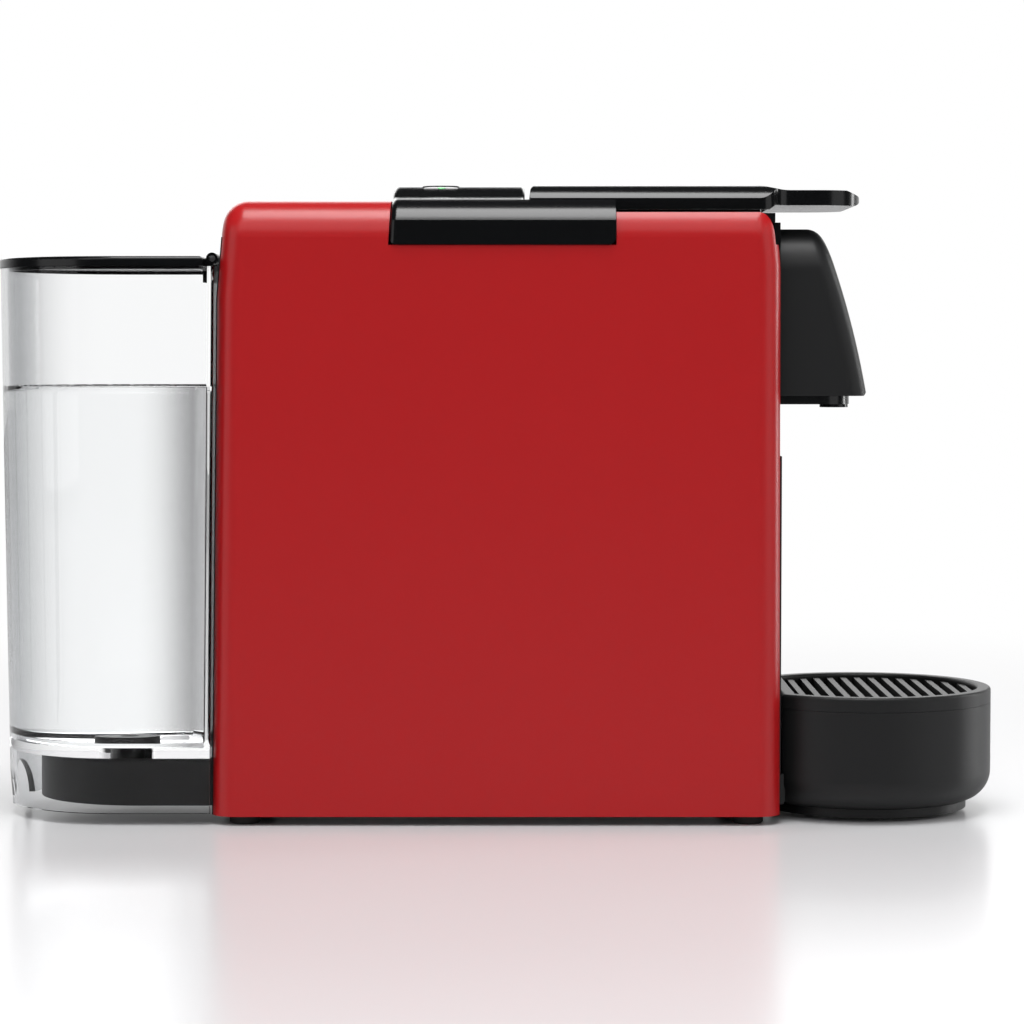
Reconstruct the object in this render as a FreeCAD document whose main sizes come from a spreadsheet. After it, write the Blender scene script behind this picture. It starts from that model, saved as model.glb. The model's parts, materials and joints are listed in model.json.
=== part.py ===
"""Slim capsule espresso machine, as an assembly of separate pieces, in millimetres.

+X is the front (spout and drip tray), +Z is up, and the origin is the middle of the
footprint on the table. Driving sizes are cells of the sheet "dims"; DERIVED spells out
the places that follow from them, and every feature is bound to those cells.
"""
import FreeCAD, Part
import math
import os
import re

import Sketcher

V = FreeCAD.Vector

# ---------------------------------------------------------------- driving sizes
SIZES = {
    # body
    "body_length": 183.8, "body_width": 82.4, "body_top": 200.8, "foot_height": 3.0,
    "wall": 2.0, "rear_lean": 2.2, "front_lean": 0.45, "rear_tip": 2.7, "front_tip": 2.2,
    "rear_tip_high": 31.0, "front_tip_high": 20.0, "tip_round": 60.0, "fit": 0.2, "seam": 0.2,
    "top_round": 12.0, "rear_round": 8.0, "corner_round": 7.5, "brow_round": 5.0,
    "opening_half": 36.0, "deck_opening": 38.0, "base_thick": 3.0, "foot_radius": 5.0,
    "foot_inset": 10.5, "foot_edge": 8.2,
    # saddle cover with the buttons
    "saddle_rear": 33.6, "saddle_lean": 1.2, "saddle_front": 38.2, "saddle_proud": 0.8,
    "saddle_skin": 2.0, "crown_radius": 200.0, "crown_half": 18.0, "crown_edge": 26.5,
    "crown_edge_drop": 4.1,
    "shoulder_start": 30.0, "shoulder_drop": 5.3, "panel_front": 9.2, "cheek_inner": 34.0,
    "button_radius": 5.6, "button_back": 18.0, "button_side": 21.0, "button_gap": 0.3,
    "button_travel": 1.2, "button_sink": 0.35, "flange_thick": 1.0, "board_thick": 1.6,
    "switch_high": 2.1,
    # lever and its linkage
    "lever_rear": 10.9, "lever_half": 33.0, "tongue_half": 27.0, "tongue_round": 14.0,
    "lever_skin": 2.6, "pivot_x": 20.2, "shaft_radius": 1.9, "running_gap": 0.06, "web_inner": 24.2,
    "web_outer": 27.2, "link_inner": 21.2, "link_thick": 2.5, "link_half": 4.0,
    "ear_radius": 3.6, "crank_radius": 4.5, "crank_pin_radius": 2.0,
    # brew unit
    "cage_travel": 30.0, "cage_rear": 34.0, "cage_front": 64.5, "cage_radius": 19.5,
    "pocket_front": 15.6, "pocket_rear": 12.0, "pocket_deep": 27.0, "seal_thick": 1.2,
    "seal_gap": 0.3, "trunnion_x": 56.0, "guide_x": 40.0, "trunnion_radius": 2.5,
    "slot_gap": 0.3, "plate_thick": 2.0, "plate_outer": 30.0, "frame_rear": -14.0,
    "head_thick": 14.0, "disc_radius": 17.0, "disc_thick": 1.5, "shelf_thick": 2.5,
    "chute_wall": 1.5, "drop_rear": 35.0, "drop_half": 21.0, "bulkhead_x": 10.0,
    "bulkhead_thick": 2.0, "slot_half": 30.4, "deck_thick": 3.0, "deck_rear": 22.0,
    "tie_radius": 2.5,
    # spout
    "spout_half": 29.0, "spout_round": 6.0, "spout_arch": 14.0, "spout_bow": 280.0,
    "under_thick": 2.7, "under_round": 10.0, "nozzle_radius": 4.7,
    "duct_bore": 2.5,
    # drip unit
    "tray_reach": 72.6, "tray_rim": 36.6, "tray_low": 1.5, "tray_ring": 34.0,
    "ring_wide": 9.0, "tray_floor": 4.0, "tray_bend": 10.0, "tray_wall": 2.0, "unit_gap": 1.0,
    "tongue_floor": 6.3, "tongue_thick": 2.5, "tongue_high": 16.0, "bay_gap": 2.0,
    "grid_top": 41.4, "grid_edge": 1.0, "grid_rim": 4.6, "bar_top": 40.0, "bar_pitch": 4.7,
    "bar_wide": 2.0, "lip_deep": 3.0, "grate_level": 15.0, "grate_thick": 1.6,
    # tank
    "tank_depth": 72.6, "tank_gap": 0.4, "tank_low": 3.7, "tank_wall": 2.2, "tank_draft": 2.0,
    "floor_thick": 3.4, "lid_thick": 3.1, "lid_over": 0.4, "plug_deep": 1.0,
    "knuckle_reach": 31.0, "lid_axis_fore": 0.8, "lid_axis_rise": 2.6,
    "lid_pin_radius": 1.0, "knuckle_radius": 1.9, "dock_half": 36.0, "dock_reach": 59.8,
    "dock_low": 6.0, "dock_top": 21.2, "dock_wall": 2.5, "valve_reach": 29.0,
    "valve_radius": 8.0, "poppet_lift": 2.5, "notch_half": 13.6, "notch_below": 0.7,
    # water path and electrics
    "pump_z": 35.0, "pump_rear": -74.0, "pump_front": -4.0, "pump_radius": 9.0,
    "plunger_radius": 4.6, "plunger_play": 3.0, "coil_radius": 17.0, "coil_rear": -58.0,
    "coil_front": -22.0, "yoke_thick": 2.5, "hose_radius": 3.0, "hose_bore": 1.8,
    "meter_x": -72.0, "meter_y": 28.0, "meter_low": 62.0, "meter_high": 12.0,
    "meter_radius": 10.0, "heater_high": 40.0, "heater_half": 27.0, "heater_rear": -48.0,
    "heater_front": 6.0, "panel_board_high": 88.0, "panel_board_half": 33.0, "post_long": 5.0,
    "gland_back": 11.0, "gland_z": 14.0, "gland_radius": 5.5,
    # rises, drops and reaches from the body's top, front and inner levels
    "crown_rise": 6.3, "crease_drop": 6.5, "flank_drop": 14.2, "step_drop": 0.9,
    "flange_below": 7.5, "board_drop": 9.6, "lever_rise": 5.3, "lever_deep": 8.0,
    "tongue_drop": 1.6, "tongue_deep": 4.9, "pivot_drop": 7.3, "brew_drop": 36.5,
    "frame_over": 2.5, "shelf_clear": 5.0, "chute_high": 15.0, "deck_drop": 4.1,
    "spout_drop": 4.4, "spout_high": 54.2, "lip_high": 1.2,
    "nozzle_out": 4.1, "duct_drop": 13.0, "bin_clear": 3.0, "face_over": 1.5,
    "lintel_drop": 11.5, "tank_drop": 21.2, "board_margin": 6.0, "heater_clear": 24.0,
    "seat_drop": 7.8, "tank_seat": 0.3, "dock_pin_high": 5.3, "supply_rise": 6.0,
    "frame_inset": 0.8, "frame_gap": 2.2, "lever_reach": 26.7, "tongue_out": 3.4,
    "flat_short": 9.9, "skirt_short": 4.0, "nose_fall": 5.0, "taper_short": 7.0,
    "brow_out": 13.3, "lip_out": 28.2, "under_out": 23.2, "nozzle_reach": 20.1,
    "under_inset": 1.0, "cup_wall": 3.5, "spigot_fit": 0.05,
    # small fittings
    "screw_radius": 1.5, "screw_head": 2.4, "screw_seat": 1.6, "saddle_round": 2.2,
    "panel_round": 1.5, "board_post": 7.0, "flange_wide": 1.2, "flange_drop": 0.8,
    "lever_edge": 4.4, "lever_dome": 8.0, "lever_heel": 2.4, "pin_inner": 16.2,
    "shelf_rear": -30.0,
    "heater_out_x": -20.0, "heater_in_x": -20.0, "ear_inner": 18.0, "ear_outer": 22.0,
}

# ------------------------------------------------- places that follow from them
DERIVED = {
    "half_length": "body_length / 2",
    "half_width": "body_width / 2",
    "overall_half": "half_width + saddle_proud",
    "inner_half": "half_width - wall",
    "inner_length": "half_length - wall",
    "base_top": "foot_height + base_thick",
    "deck_half": "deck_opening - fit",
    "panel_half": "opening_half - fit",
    "crown_top": "body_top + crown_rise",
    "flank_crease": "body_top - crease_drop",
    "flank_bottom": "body_top - flank_drop",
    "step_height": "body_top - step_drop",
    "flange_top": "crown_top - flange_below",
    "board_level": "body_top - board_drop",
    "lever_top": "body_top + lever_rise",
    "lever_low": "lever_top - lever_deep",
    "tongue_top": "lever_top - tongue_drop",
    "tongue_low": "tongue_top - tongue_deep",
    "pivot_z": "lever_top - pivot_drop",
    "brew_axis": "pivot_z - brew_drop",
    "frame_top": "brew_axis + cage_radius + frame_over",
    "shelf_top": "brew_axis - cage_radius - shelf_clear",
    "shelf_low": "shelf_top - shelf_thick",
    "chute_low": "shelf_low - chute_high",
    "deck_top": "body_top - deck_drop",
    "spout_top": "deck_top - spout_drop",
    "spout_low": "spout_top - spout_high",
    "spout_lip_z": "spout_low + lip_high",
    "nozzle_low": "spout_low - nozzle_out",
    "duct_z": "brew_axis - duct_drop",
    "bin_top": "chute_low - bin_clear",
    "bin_face_top": "bin_top + face_over",
    "rear_opening_top": "body_top - lintel_drop",
    "tank_top": "body_top - tank_drop",
    "lid_low": "tank_top + fit",
    "panel_board_z": "rear_opening_top - panel_board_high - board_margin",
    "heater_low": "shelf_low - heater_high - heater_clear",
    "seat_top": "tank_floor - seat_drop",
    "tank_floor": "dock_top + tank_seat + floor_thick",
    "dock_pin_top": "dock_low + dock_pin_high",
    "supply_z": "dock_low + supply_rise",
    "frame_face": "half_length - frame_inset",
    "frame_front": "frame_face - wall - frame_gap",
    "lever_front": "half_length + lever_reach",
    "tongue_start": "half_length + tongue_out",
    "lever_flat": "half_length - flat_short",
    "tongue_nose": "lever_front - nose_fall",
    "skirt_front": "half_length - skirt_short",
    "lever_taper": "half_length - taper_short",
    "spout_brow_x": "half_length + brow_out",
    "spout_lip_x": "half_length + lip_out",
    "under_front": "half_length + under_out",
    "nozzle_x": "half_length + nozzle_reach",
    "slot_front": "head_rear",
    "under_half": "spout_half - under_inset",
    "cup_radius": "valve_radius + cup_wall",
    "collar_radius": "spout_lip_x - 1 - wall - fit - nozzle_x",
    "dome_radius": "(lever_dome ^ 2 + lever_edge ^ 2) / (2 * lever_edge)",
    "rear_knee": "body_top - rear_tip_high",
    "front_knee": "body_top - front_tip_high",
    "deck_front": "half_length - front_lean - front_tip",
    "spigot_radius": "hose_bore - spigot_fit",
    "flank_half": "overall_half",
    "crown_drop": "crown_radius - sqrt(crown_radius ^ 2 - crown_half ^ 2)",
    "switch_top": "board_level + board_thick + switch_high",
    # over-centre linkage: crank and link lie in line when the lever is down
    "reach_down": "pivot_z - brew_axis",
    "reach_along": "trunnion_x - pivot_x",
    "closed_reach": "sqrt(reach_along ^ 2 + reach_down ^ 2)",
    "crank": "(2 * reach_along * cage_travel - cage_travel ^ 2)"
             " / (2 * (closed_reach + cage_travel * reach_down / closed_reach))",
    "crank_x": "pivot_x + crank * reach_along / closed_reach",
    "crank_z": "pivot_z - crank * reach_down / closed_reach",
    "plate_inner": "plate_outer - plate_thick",
    "link_outer": "link_inner + link_thick",
    "head_rear": "cage_front + seal_thick + seal_gap",
    "tray_radius": "overall_half",
    "tray_x": "half_length + tray_reach - tray_radius",
    "tray_back": "half_length + unit_gap",
    "tongue_half_wide": "opening_half - fit * 2",
    "tongue_rear": "bulkhead_x + bulkhead_thick + bay_gap",
    "bin_half": "tongue_half_wide - tray_wall - fit",
    "bin_rear": "tongue_rear + tray_wall + fit",
    "bin_low": "tongue_floor + tongue_thick + fit",
    "tank_half": "overall_half - lid_over",
    "tank_x": "half_length + tank_depth - overall_half",
    "tank_front": "half_length + tank_gap",
    "dock_x": "half_length + dock_reach - dock_half",
    "valve_x": "tank_front + valve_reach",
    "lid_axis_x": "tank_front - lid_axis_fore",
    "lid_axis_z": "lid_low + lid_axis_rise",
    "chord": "sqrt(tray_radius ^ 2 - (tray_x - tray_back) ^ 2)",
}

doc = FreeCAD.newDocument("espresso_machine")
sheet = doc.addObject("Spreadsheet::Sheet", "dims")
for row, (word, number) in enumerate(SIZES.items(), start=1):
    sheet.set(f"A{row}", word)
    sheet.set(f"B{row}", str(number))
    sheet.setAlias(f"B{row}", word)
doc.recompute()

NODES = []


# ---------------------------------------------------------------- small helpers
def spell(text):
    """Write a size out in the sheet's own cells."""
    def one(match):
        word = match.group(0)
        if word in DERIVED:
            return "(" + spell(DERIVED[word]) + ")"
        return "dims." + word if word in SIZES else word
    return re.sub(r"[a-z_]+", one, str(text))


def size(text):
    """The number that an expression has now."""
    answer = sheet.evalExpression(spell(text))
    return float(getattr(answer, "Value", answer))


def bind(item, **places):
    """Tie properties of an object to the sheet; __ stands for a dot in a name."""
    for name, text in places.items():
        item.setExpression(name.replace("__", "."), spell(text))
    return item


def keep(item, label):
    """Name a finished sub-part, so that it is written to its own file."""
    item.Label = label
    NODES.append(item)
    return item


def aim(item, axis):
    """Turn an object's own Z towards +X, +Y or stay at +Z."""
    turns = {"X": FreeCAD.Rotation(V(0, 1, 0), 90), "Y": FreeCAD.Rotation(V(1, 0, 0), -90),
             "Z": FreeCAD.Rotation()}
    item.Placement = FreeCAD.Placement(V(), turns[axis])


def place(item, x="0", y="0", z="0"):
    """Bind where an object stands."""
    return bind(item, Placement__Base__x=x, Placement__Base__y=y, Placement__Base__z=z)


def box(x, y, z):
    """A block between pairs of places."""
    item = doc.addObject("Part::Box", "block")
    bind(item, Length=f"({x[1]}) - ({x[0]})", Width=f"({y[1]}) - ({y[0]})",
         Height=f"({z[1]}) - ({z[0]})")
    return place(item, x[0], y[0], z[0])


def rod(radius, start, end, x="0", y="0", z="0", axis="Z"):
    """A round bar along an axis, from start to end on that axis."""
    item = doc.addObject("Part::Cylinder", "rod")
    aim(item, axis)
    bind(item, Radius=radius, Height=f"({end}) - ({start})")
    spot = {"x": x, "y": y, "z": z}
    spot[axis.lower()] = start
    return place(item, **spot)


def join(*items):
    item = doc.addObject("Part::MultiFuse", "join")
    item.Shapes = list(items)
    item.Refine = True
    return item


def cut(base, *tools):
    item = doc.addObject("Part::Cut", "cut")
    item.Base = base
    item.Tool = tools[0] if len(tools) == 1 else join(*tools)
    return item


def common(first, second):
    item = doc.addObject("Part::Common", "common")
    item.Base = first
    item.Tool = second
    return item


def group(*items):
    """Separate solids kept in one node."""
    item = doc.addObject("Part::Compound", "group")
    item.Links = list(items)
    return item


def mirrored(item):
    twin = doc.addObject("Part::Mirroring", "twin")
    twin.Source = item
    twin.Normal = V(0, 1, 0)
    return twin


def round_edges(item, rules):
    """Fillet the edges that each rule picks; a rule is (test, radius name)."""
    doc.recompute()
    picked = []
    for number, edge in enumerate(item.Shape.Edges, start=1):
        for test, radius in rules:
            if test(edge):
                picked.append((number, size(radius), size(radius)))
                break
    item_round = doc.addObject("Part::Fillet", "rounded")
    item_round.Base = item
    item_round.Edges = picked
    return item_round


def runs_along(edge, axis, least=1.0):
    """True for a straight edge that mostly follows an axis."""
    span = edge.BoundBox
    lengths = {"X": span.XLength, "Y": span.YLength, "Z": span.ZLength}
    main = lengths.pop(axis)
    return main > least and max(lengths.values()) < 0.15 * main


# --------------------------------------------------------------- sketched bodies
def origin_plane(body, role):
    return next(f for f in body.Origin.OriginFeatures if f.Role == role)


def arc_between(start, end, tangent=None, radius=None, left=True):
    """The arc from start to end, by its first tangent or by its radius and side."""
    chord = end - start
    if tangent is not None:
        side = V(-tangent.y, tangent.x, 0)
        radius = chord.dot(chord) / (2 * chord.dot(side))
        centre = start + side * radius
    else:
        half = chord.Length / 2
        across = V(-chord.y, chord.x, 0).normalize()
        rise = math.sqrt(max(radius ** 2 - half ** 2, 0))
        centre = start + chord * 0.5 + across * (rise if left else -rise)
        radius = radius if left else -radius
    begin = math.atan2(start.y - centre.y, start.x - centre.x)
    finish = math.atan2(end.y - centre.y, end.x - centre.x)
    circle = Part.Circle(centre, V(0, 0, 1), abs(radius))
    if radius > 0:
        return Part.ArcOfCircle(circle, begin, finish), True
    return Part.ArcOfCircle(circle, finish, begin), False


def end_direction(curve, forward):
    """The direction in which a curve leaves its last point."""
    if isinstance(curve, Part.LineSegment):
        return (curve.EndPoint - curve.StartPoint).normalize()
    last = curve.EndPoint if forward else curve.StartPoint
    spoke = (last - curve.Center).normalize()
    turned = V(-spoke.y, spoke.x, 0)
    return turned if forward else turned * -1


def outline(body, plane, corners, offset="0"):
    """A closed outline on an origin plane of the body.

    A corner is (across, up) or (across, up, how), and how says what leads from it to
    the next corner: "smooth" for an arc that goes on from the stretch before it, or
    ("left" or "right", radius) for an arc whose centre is on that side.
    """
    sketch = body.newObject("Sketcher::SketchObject", "outline")
    sketch.AttachmentSupport = [(origin_plane(body, plane), "")]
    sketch.MapMode = "FlatFace"
    bind(sketch, AttachmentOffset__Base__z=offset)
    points = [V(size(c[0]), size(c[1]), 0) for c in corners]
    ends = []
    heading = None
    for index, corner in enumerate(corners):
        start, end = points[index], points[(index + 1) % len(points)]
        how = corner[2] if len(corner) > 2 else None
        forward = True
        if how is None:
            curve = Part.LineSegment(start, end)
        elif how == "smooth":
            curve, forward = arc_between(start, end, tangent=heading)
        else:
            curve, forward = arc_between(start, end, radius=size(how[1]), left=how[0] == "left")
        number = sketch.addGeometry(curve, False)
        heading = end_direction(curve, forward)
        ends.append((number, 1 if forward else 2, 2 if forward else 1))
    for index, (number, first, last) in enumerate(ends):
        following = ends[(index + 1) % len(ends)]
        how = corners[index][2] if len(corners[index]) > 2 else None
        follower = corners[(index + 1) % len(corners)]
        if len(follower) < 3 or follower[2] != "smooth":
            sketch.addConstraint(Sketcher.Constraint("Coincident", number, last,
                                                     following[0], following[1]))
        for kind, coordinate, text in (("DistanceX", points[index].x, corners[index][0]),
                                       ("DistanceY", points[index].y, corners[index][1])):
            fixed = sketch.addConstraint(Sketcher.Constraint(kind, -1, 1, number, first,
                                                             coordinate))
            sketch.setExpression(f"Constraints[{fixed}]", spell(text))
        if isinstance(how, tuple):
            curved = sketch.addConstraint(Sketcher.Constraint("Radius", number, size(how[1])))
            sketch.setExpression(f"Constraints[{curved}]", spell(how[1]))
        elif how == "smooth":
            before = ends[index - 1]
            sketch.addConstraint(Sketcher.Constraint("Tangent", before[0], before[2],
                                                     number, first))
    return sketch


def new_body():
    return doc.addObject("PartDesign::Body", "piece")


def sketched(plane, corners, low, high):
    """A body extruded from an outline between two levels on the plane's normal."""
    body = new_body()
    lift = high if plane == "XZ_Plane" else low
    sketch = outline(body, plane, corners, f"-({lift})" if plane == "XZ_Plane" else lift)
    pad = body.newObject("PartDesign::Pad", "pad")
    pad.Profile = sketch
    bind(pad, Length=f"({high}) - ({low})")
    return body


def turned(corners, x="0", y="0", z="0", axis="Z"):
    """A body of revolution from (radius, along) corners, placed with its axis."""
    body = new_body()
    sketch = outline(body, "XZ_Plane", corners)
    spin = body.newObject("PartDesign::Revolution", "turn")
    spin.Profile = sketch
    spin.ReferenceAxis = (sketch, ["V_Axis"])
    spin.Angle = 360
    aim(body, axis)
    return place(body, x, y, z)


def softened(body, radius, test):
    """Fillet edges of a body that a test picks."""
    doc.recompute()
    names = [f"Edge{n}" for n, edge in enumerate(body.Shape.Edges, start=1) if test(edge)]
    base = body.Tip
    fillet = body.newObject("PartDesign::Fillet", "fillet")
    fillet.Base = (base, names)
    bind(fillet, Radius=radius)
    return body


def tube(radius, bore, start, end, **where):
    """A straight tube along an axis."""
    return cut(rod(radius, start, end, **where), rod(bore, start, end, **where))


def hose(points, bend):
    """A hose through points, its corners turned on arcs of one bend radius."""
    spots = [V(*(size(c) for c in point)) for point in points]
    edges = []
    here = spots[0]
    for before, corner, after in zip(spots, spots[1:], spots[2:]):
        way_in = (corner - before).normalize()
        way_out = (after - corner).normalize()
        half_turn = way_in.getAngle(way_out) / 2
        back = size(bend) * math.tan(half_turn)
        arc_start, arc_end = corner - way_in * back, corner + way_out * back
        inward = (way_out - way_in).normalize()
        centre = corner + inward * (size(bend) / math.cos(half_turn))
        middle = centre - inward * size(bend)
        edges.append(Part.LineSegment(here, arc_start).toShape())
        edges.append(Part.Arc(arc_start, middle, arc_end).toShape())
        here = arc_end
    edges.append(Part.LineSegment(here, spots[-1]).toShape())
    spine = Part.Wire(edges)
    start_way = (spots[1] - spots[0]).normalize()
    shapes = []
    for radius in (size("hose_radius"), size("hose_bore")):
        ring = Part.Wire([Part.Circle(spots[0], start_way, radius).toShape()])
        shapes.append(spine.makePipeShell([ring], True, False))
    item = doc.addObject("Part::Feature", "hose")
    item.Shape = shapes[0].cut(shapes[1])
    return item


# ------------------------------------------------------------------ outer shells
def sleeve(inset, bottom):
    """The body's outer form, or its hollow when moved inwards by a wall."""
    top = f"body_top - {inset}"
    body = sketched("XZ_Plane", [
        (f"-half_length + {inset}", bottom),
        (f"half_length - {inset}", bottom),
        (f"half_length - front_lean - {inset}", "front_knee"),
        (f"half_length - front_lean - front_tip - {inset}", top),
        (f"-half_length + rear_lean + rear_tip + {inset}", top),
        (f"-half_length + rear_lean + {inset}", "rear_knee"),
    ], f"-(half_width - {inset})", f"half_width - {inset}")
    across = lambda e, ahead: runs_along(e, "Y", 20) and e.CenterOfMass.x * ahead > 0
    high = size(top) - 0.1
    return round_edges(body, [
        (lambda e: runs_along(e, "X", 20) and e.CenterOfMass.z > high, f"top_round - {inset}"),
        (lambda e: runs_along(e, "Z", 10), f"corner_round - {inset}"),
        (lambda e: across(e, -1) and e.CenterOfMass.z > high, f"rear_round - {inset}"),
        (lambda e: across(e, 1) and e.CenterOfMass.z > high, f"brow_round - {inset}"),
        (lambda e: runs_along(e, "Y", 20) and e.CenterOfMass.z > high / 2, "tip_round"),
    ])


def side_shells():
    """Two mirrored halves of the red sleeve, open below, front, back and under the lever."""
    opening = ("-opening_half", "opening_half")
    whole = cut(
        sleeve("0", "foot_height"),
        sleeve("wall", "foot_height - 1"),
        box(("half_length - wall - 2", "half_length + 1"), opening,
            ("foot_height - 1", "body_top + 1")),
        box(("-half_length - 1", "-half_length + rear_lean + rear_tip + wall + 1"), opening,
            ("foot_height - 1", "rear_opening_top")),
        box(("saddle_front + fit", "half_length + 1"), ("-deck_opening", "deck_opening"),
            ("flank_bottom", "body_top + 1")),
        sketched("XZ_Plane", saddle_side("fit"), "-half_width - 1", "half_width + 1"),
    )
    span = ("-half_length - 1", "half_length + 1")
    tall = ("foot_height - 1", "body_top + 1")
    right = common(whole, box(span, ("-half_width - 1", "-seam / 2"), tall))
    left = common(whole, box(span, ("seam / 2", "half_width + 1"), tall))
    keep(right, "right_side_shell")
    keep(cut(left, rod("gland_radius + fit / 2", "inner_half - 1", "half_width + 1", axis="Y",
                       x="-half_length + gland_back", z="gland_z")), "left_side_shell")


def rear_face(level):
    """Where the leaning rear of the body is at a level below its knee."""
    return f"-half_length + rear_lean * (({level}) - foot_height) / (rear_knee - foot_height)"


def rear_panel():
    """Black back wall between the shells, with posts for the control board."""
    low, high = "foot_height", "rear_opening_top - fit"
    tip = f"-half_length + rear_lean + rear_tip * ({high} - rear_knee) / rear_tip_high"
    panel = sketched("XZ_Plane", [
        (rear_face(low), low), (f"{rear_face(low)} + wall", low),
        ("-half_length + rear_lean + wall", "rear_knee"), (f"{tip} + wall", high),
        (tip, high), ("-half_length + rear_lean", "rear_knee"),
    ], "-panel_half", "panel_half")
    posts = [rod("2.5", "-half_length + rear_lean + 0.6", "-half_length + wall + post_long",
                 axis="X", y=f"{side} * (panel_board_half - 6)", z=level)
             for side in (1, -1)
             for level in ("panel_board_z + 9", "panel_board_z + panel_board_high - 9")]
    hole = rod("hose_radius + fit", "-half_length - 1", "-half_length + wall + 1", axis="X",
               z="supply_z")
    keep(cut(join(panel, *posts), hole), "rear_panel")


def base_plate():
    """Floor of the machine, screwed up through the feet."""
    plate = sketched("XY_Plane", [
        ("-inner_length + fit", "-inner_half + fit"), ("inner_length - fit", "-inner_half + fit"),
        ("inner_length - fit", "inner_half - fit"), ("-inner_length + fit", "inner_half - fit"),
    ], "foot_height", "base_top")
    softened(plate, "corner_round - wall", lambda e: runs_along(e, "Z"))
    holes = [rod("screw_radius + running_gap", "foot_height - 1", "base_top + 1", x=x, y=y)
             for x, y in foot_spots()]
    keep(cut(plate, *holes), "base_plate")


def foot_spots():
    return [(f"{along} * (half_length - foot_inset)", f"{side} * (half_width - foot_edge)")
            for along in (1, -1) for side in (1, -1)]


def feet():
    """Four rubber feet, each held by a screw from below."""
    pads, screws = [], []
    for x, y in foot_spots():
        pads.append(turned([
            ("screw_radius + fit", "screw_seat"), ("screw_head + fit", "screw_seat"),
            ("screw_head + fit", "0"), ("foot_radius - 0.6", "0"), ("foot_radius", "0.6"),
            ("foot_radius", "foot_height"), ("screw_radius + fit", "foot_height"),
        ], x, y))
        screws.append(turned([
            ("0", "screw_seat - 1"), ("screw_head", "screw_seat - 1"),
            ("screw_head", "screw_seat"), ("screw_radius", "screw_seat"),
            ("screw_radius", "base_top"), ("0", "base_top"),
        ], x, y))
    keep(group(*pads), "feet")
    keep(group(*screws), "foot_screws")


def cord_gland():
    """Bushing in the left shell where a mains lead would enter; no lead is fitted."""
    keep(tube("gland_radius", "gland_radius - 2.2", "inner_half - 4", "half_width", axis="Y",
              x="-half_length + gland_back", z="gland_z"), "cord_gland")


# ------------------------------------------------------------------ saddle cover
def saddle_side(gap):
    """Side outline of the saddle, whose rear end leans, moved outwards by a gap."""
    return [
        (f"-saddle_rear - saddle_lean / 2 - {gap}", f"flank_bottom - {gap}"),
        (f"saddle_front + {gap}", f"flank_bottom - {gap}"),
        (f"saddle_front + {gap}", "crown_top + 2"),
        (f"-saddle_rear + saddle_lean / 2 - {gap}", "crown_top + 2"),
    ]


def saddle_form(lower):
    """Half the cross-section of the saddle, lowered a little if asked, and its twin."""
    half = sketched("YZ_Plane", [
        ("0", f"crown_top - {lower}", ("right", "crown_radius")),
        ("crown_half", f"crown_top - crown_drop - {lower}", "smooth"),
        ("crown_edge", f"crown_top - crown_edge_drop - {lower}", "smooth"),
        ("shoulder_start", f"crown_top - shoulder_drop - {lower}", "smooth"),
        ("flank_half", f"flank_crease - {lower}"),
        ("flank_half", f"flank_bottom - {lower}"),
        ("0", f"flank_bottom - {lower}"),
    ], "-saddle_rear - saddle_lean / 2", "saddle_front")
    return common(join(half, mirrored(half)),
                  sketched("XZ_Plane", saddle_side("0"), "-flank_half - 1", "flank_half + 1"))


def saddle_hollow():
    half = sketched("YZ_Plane", [
        ("0", "crown_top - saddle_skin"),
        ("crown_half", "crown_top - crown_drop - saddle_skin"),
        ("crown_edge - saddle_skin / 2", "crown_top - crown_edge_drop - saddle_skin"),
        ("shoulder_start - saddle_skin / 2", "crown_top - shoulder_drop - saddle_skin"),
        ("flank_half - saddle_skin", "flank_crease - saddle_skin / 2"),
        ("flank_half - saddle_skin", "flank_bottom - 1"),
        ("0", "flank_bottom - 1"),
    ], "-saddle_rear + saddle_skin", "panel_front - saddle_skin")
    return join(half, mirrored(half))


def saddle_cover():
    """Black strap over the body: raised panel with two buttons, and cheeks by the lever."""
    doc.recompute()
    rear = -size("saddle_rear")
    solid = round_edges(saddle_form("0"), [
        (lambda e: e.BoundBox.XMax < rear + size("saddle_lean"), "saddle_round"),
        (lambda e: runs_along(e, "Y", 20) and e.CenterOfMass.x > 0
         and e.CenterOfMass.z < size("flank_crease"), "saddle_round"),
    ])
    front = size("panel_front")
    open_front = cut(solid, box(("panel_front", "saddle_front + 1"),
                                ("-cheek_inner", "cheek_inner"),
                                ("flank_bottom - 1", "crown_top + 1")))
    eased = round_edges(open_front, [
        (lambda e: abs(e.BoundBox.XMax - front) < 0.01 and abs(e.BoundBox.XMin - front) < 0.01
         and e.CenterOfMass.z > size("step_height") and e.BoundBox.YLength > 2, "panel_round")])
    cheeks = [box(("panel_front - saddle_skin - 1", "saddle_front - saddle_skin"),
                  (f"{a}", f"{b}"), ("flank_bottom - 1", "flank_crease - saddle_skin / 2"))
              for a, b in (("cheek_inner + saddle_skin", "flank_half - saddle_skin"),
                           ("-flank_half + saddle_skin", "-cheek_inner - saddle_skin"))]
    wells = [rod("button_radius + button_gap", "board_level", "crown_top + 1",
                 x="-button_back", y=f"{side} * button_side") for side in (1, -1)]
    posts = [rod("2", "board_level + board_thick", "crown_top - saddle_skin + 0.3",
                 x=f"-button_back + {along} * board_post", y="0") for along in (1, -1)]
    keep(join(cut(eased, saddle_hollow(), *cheeks, *wells), *posts), "saddle_cover")


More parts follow.
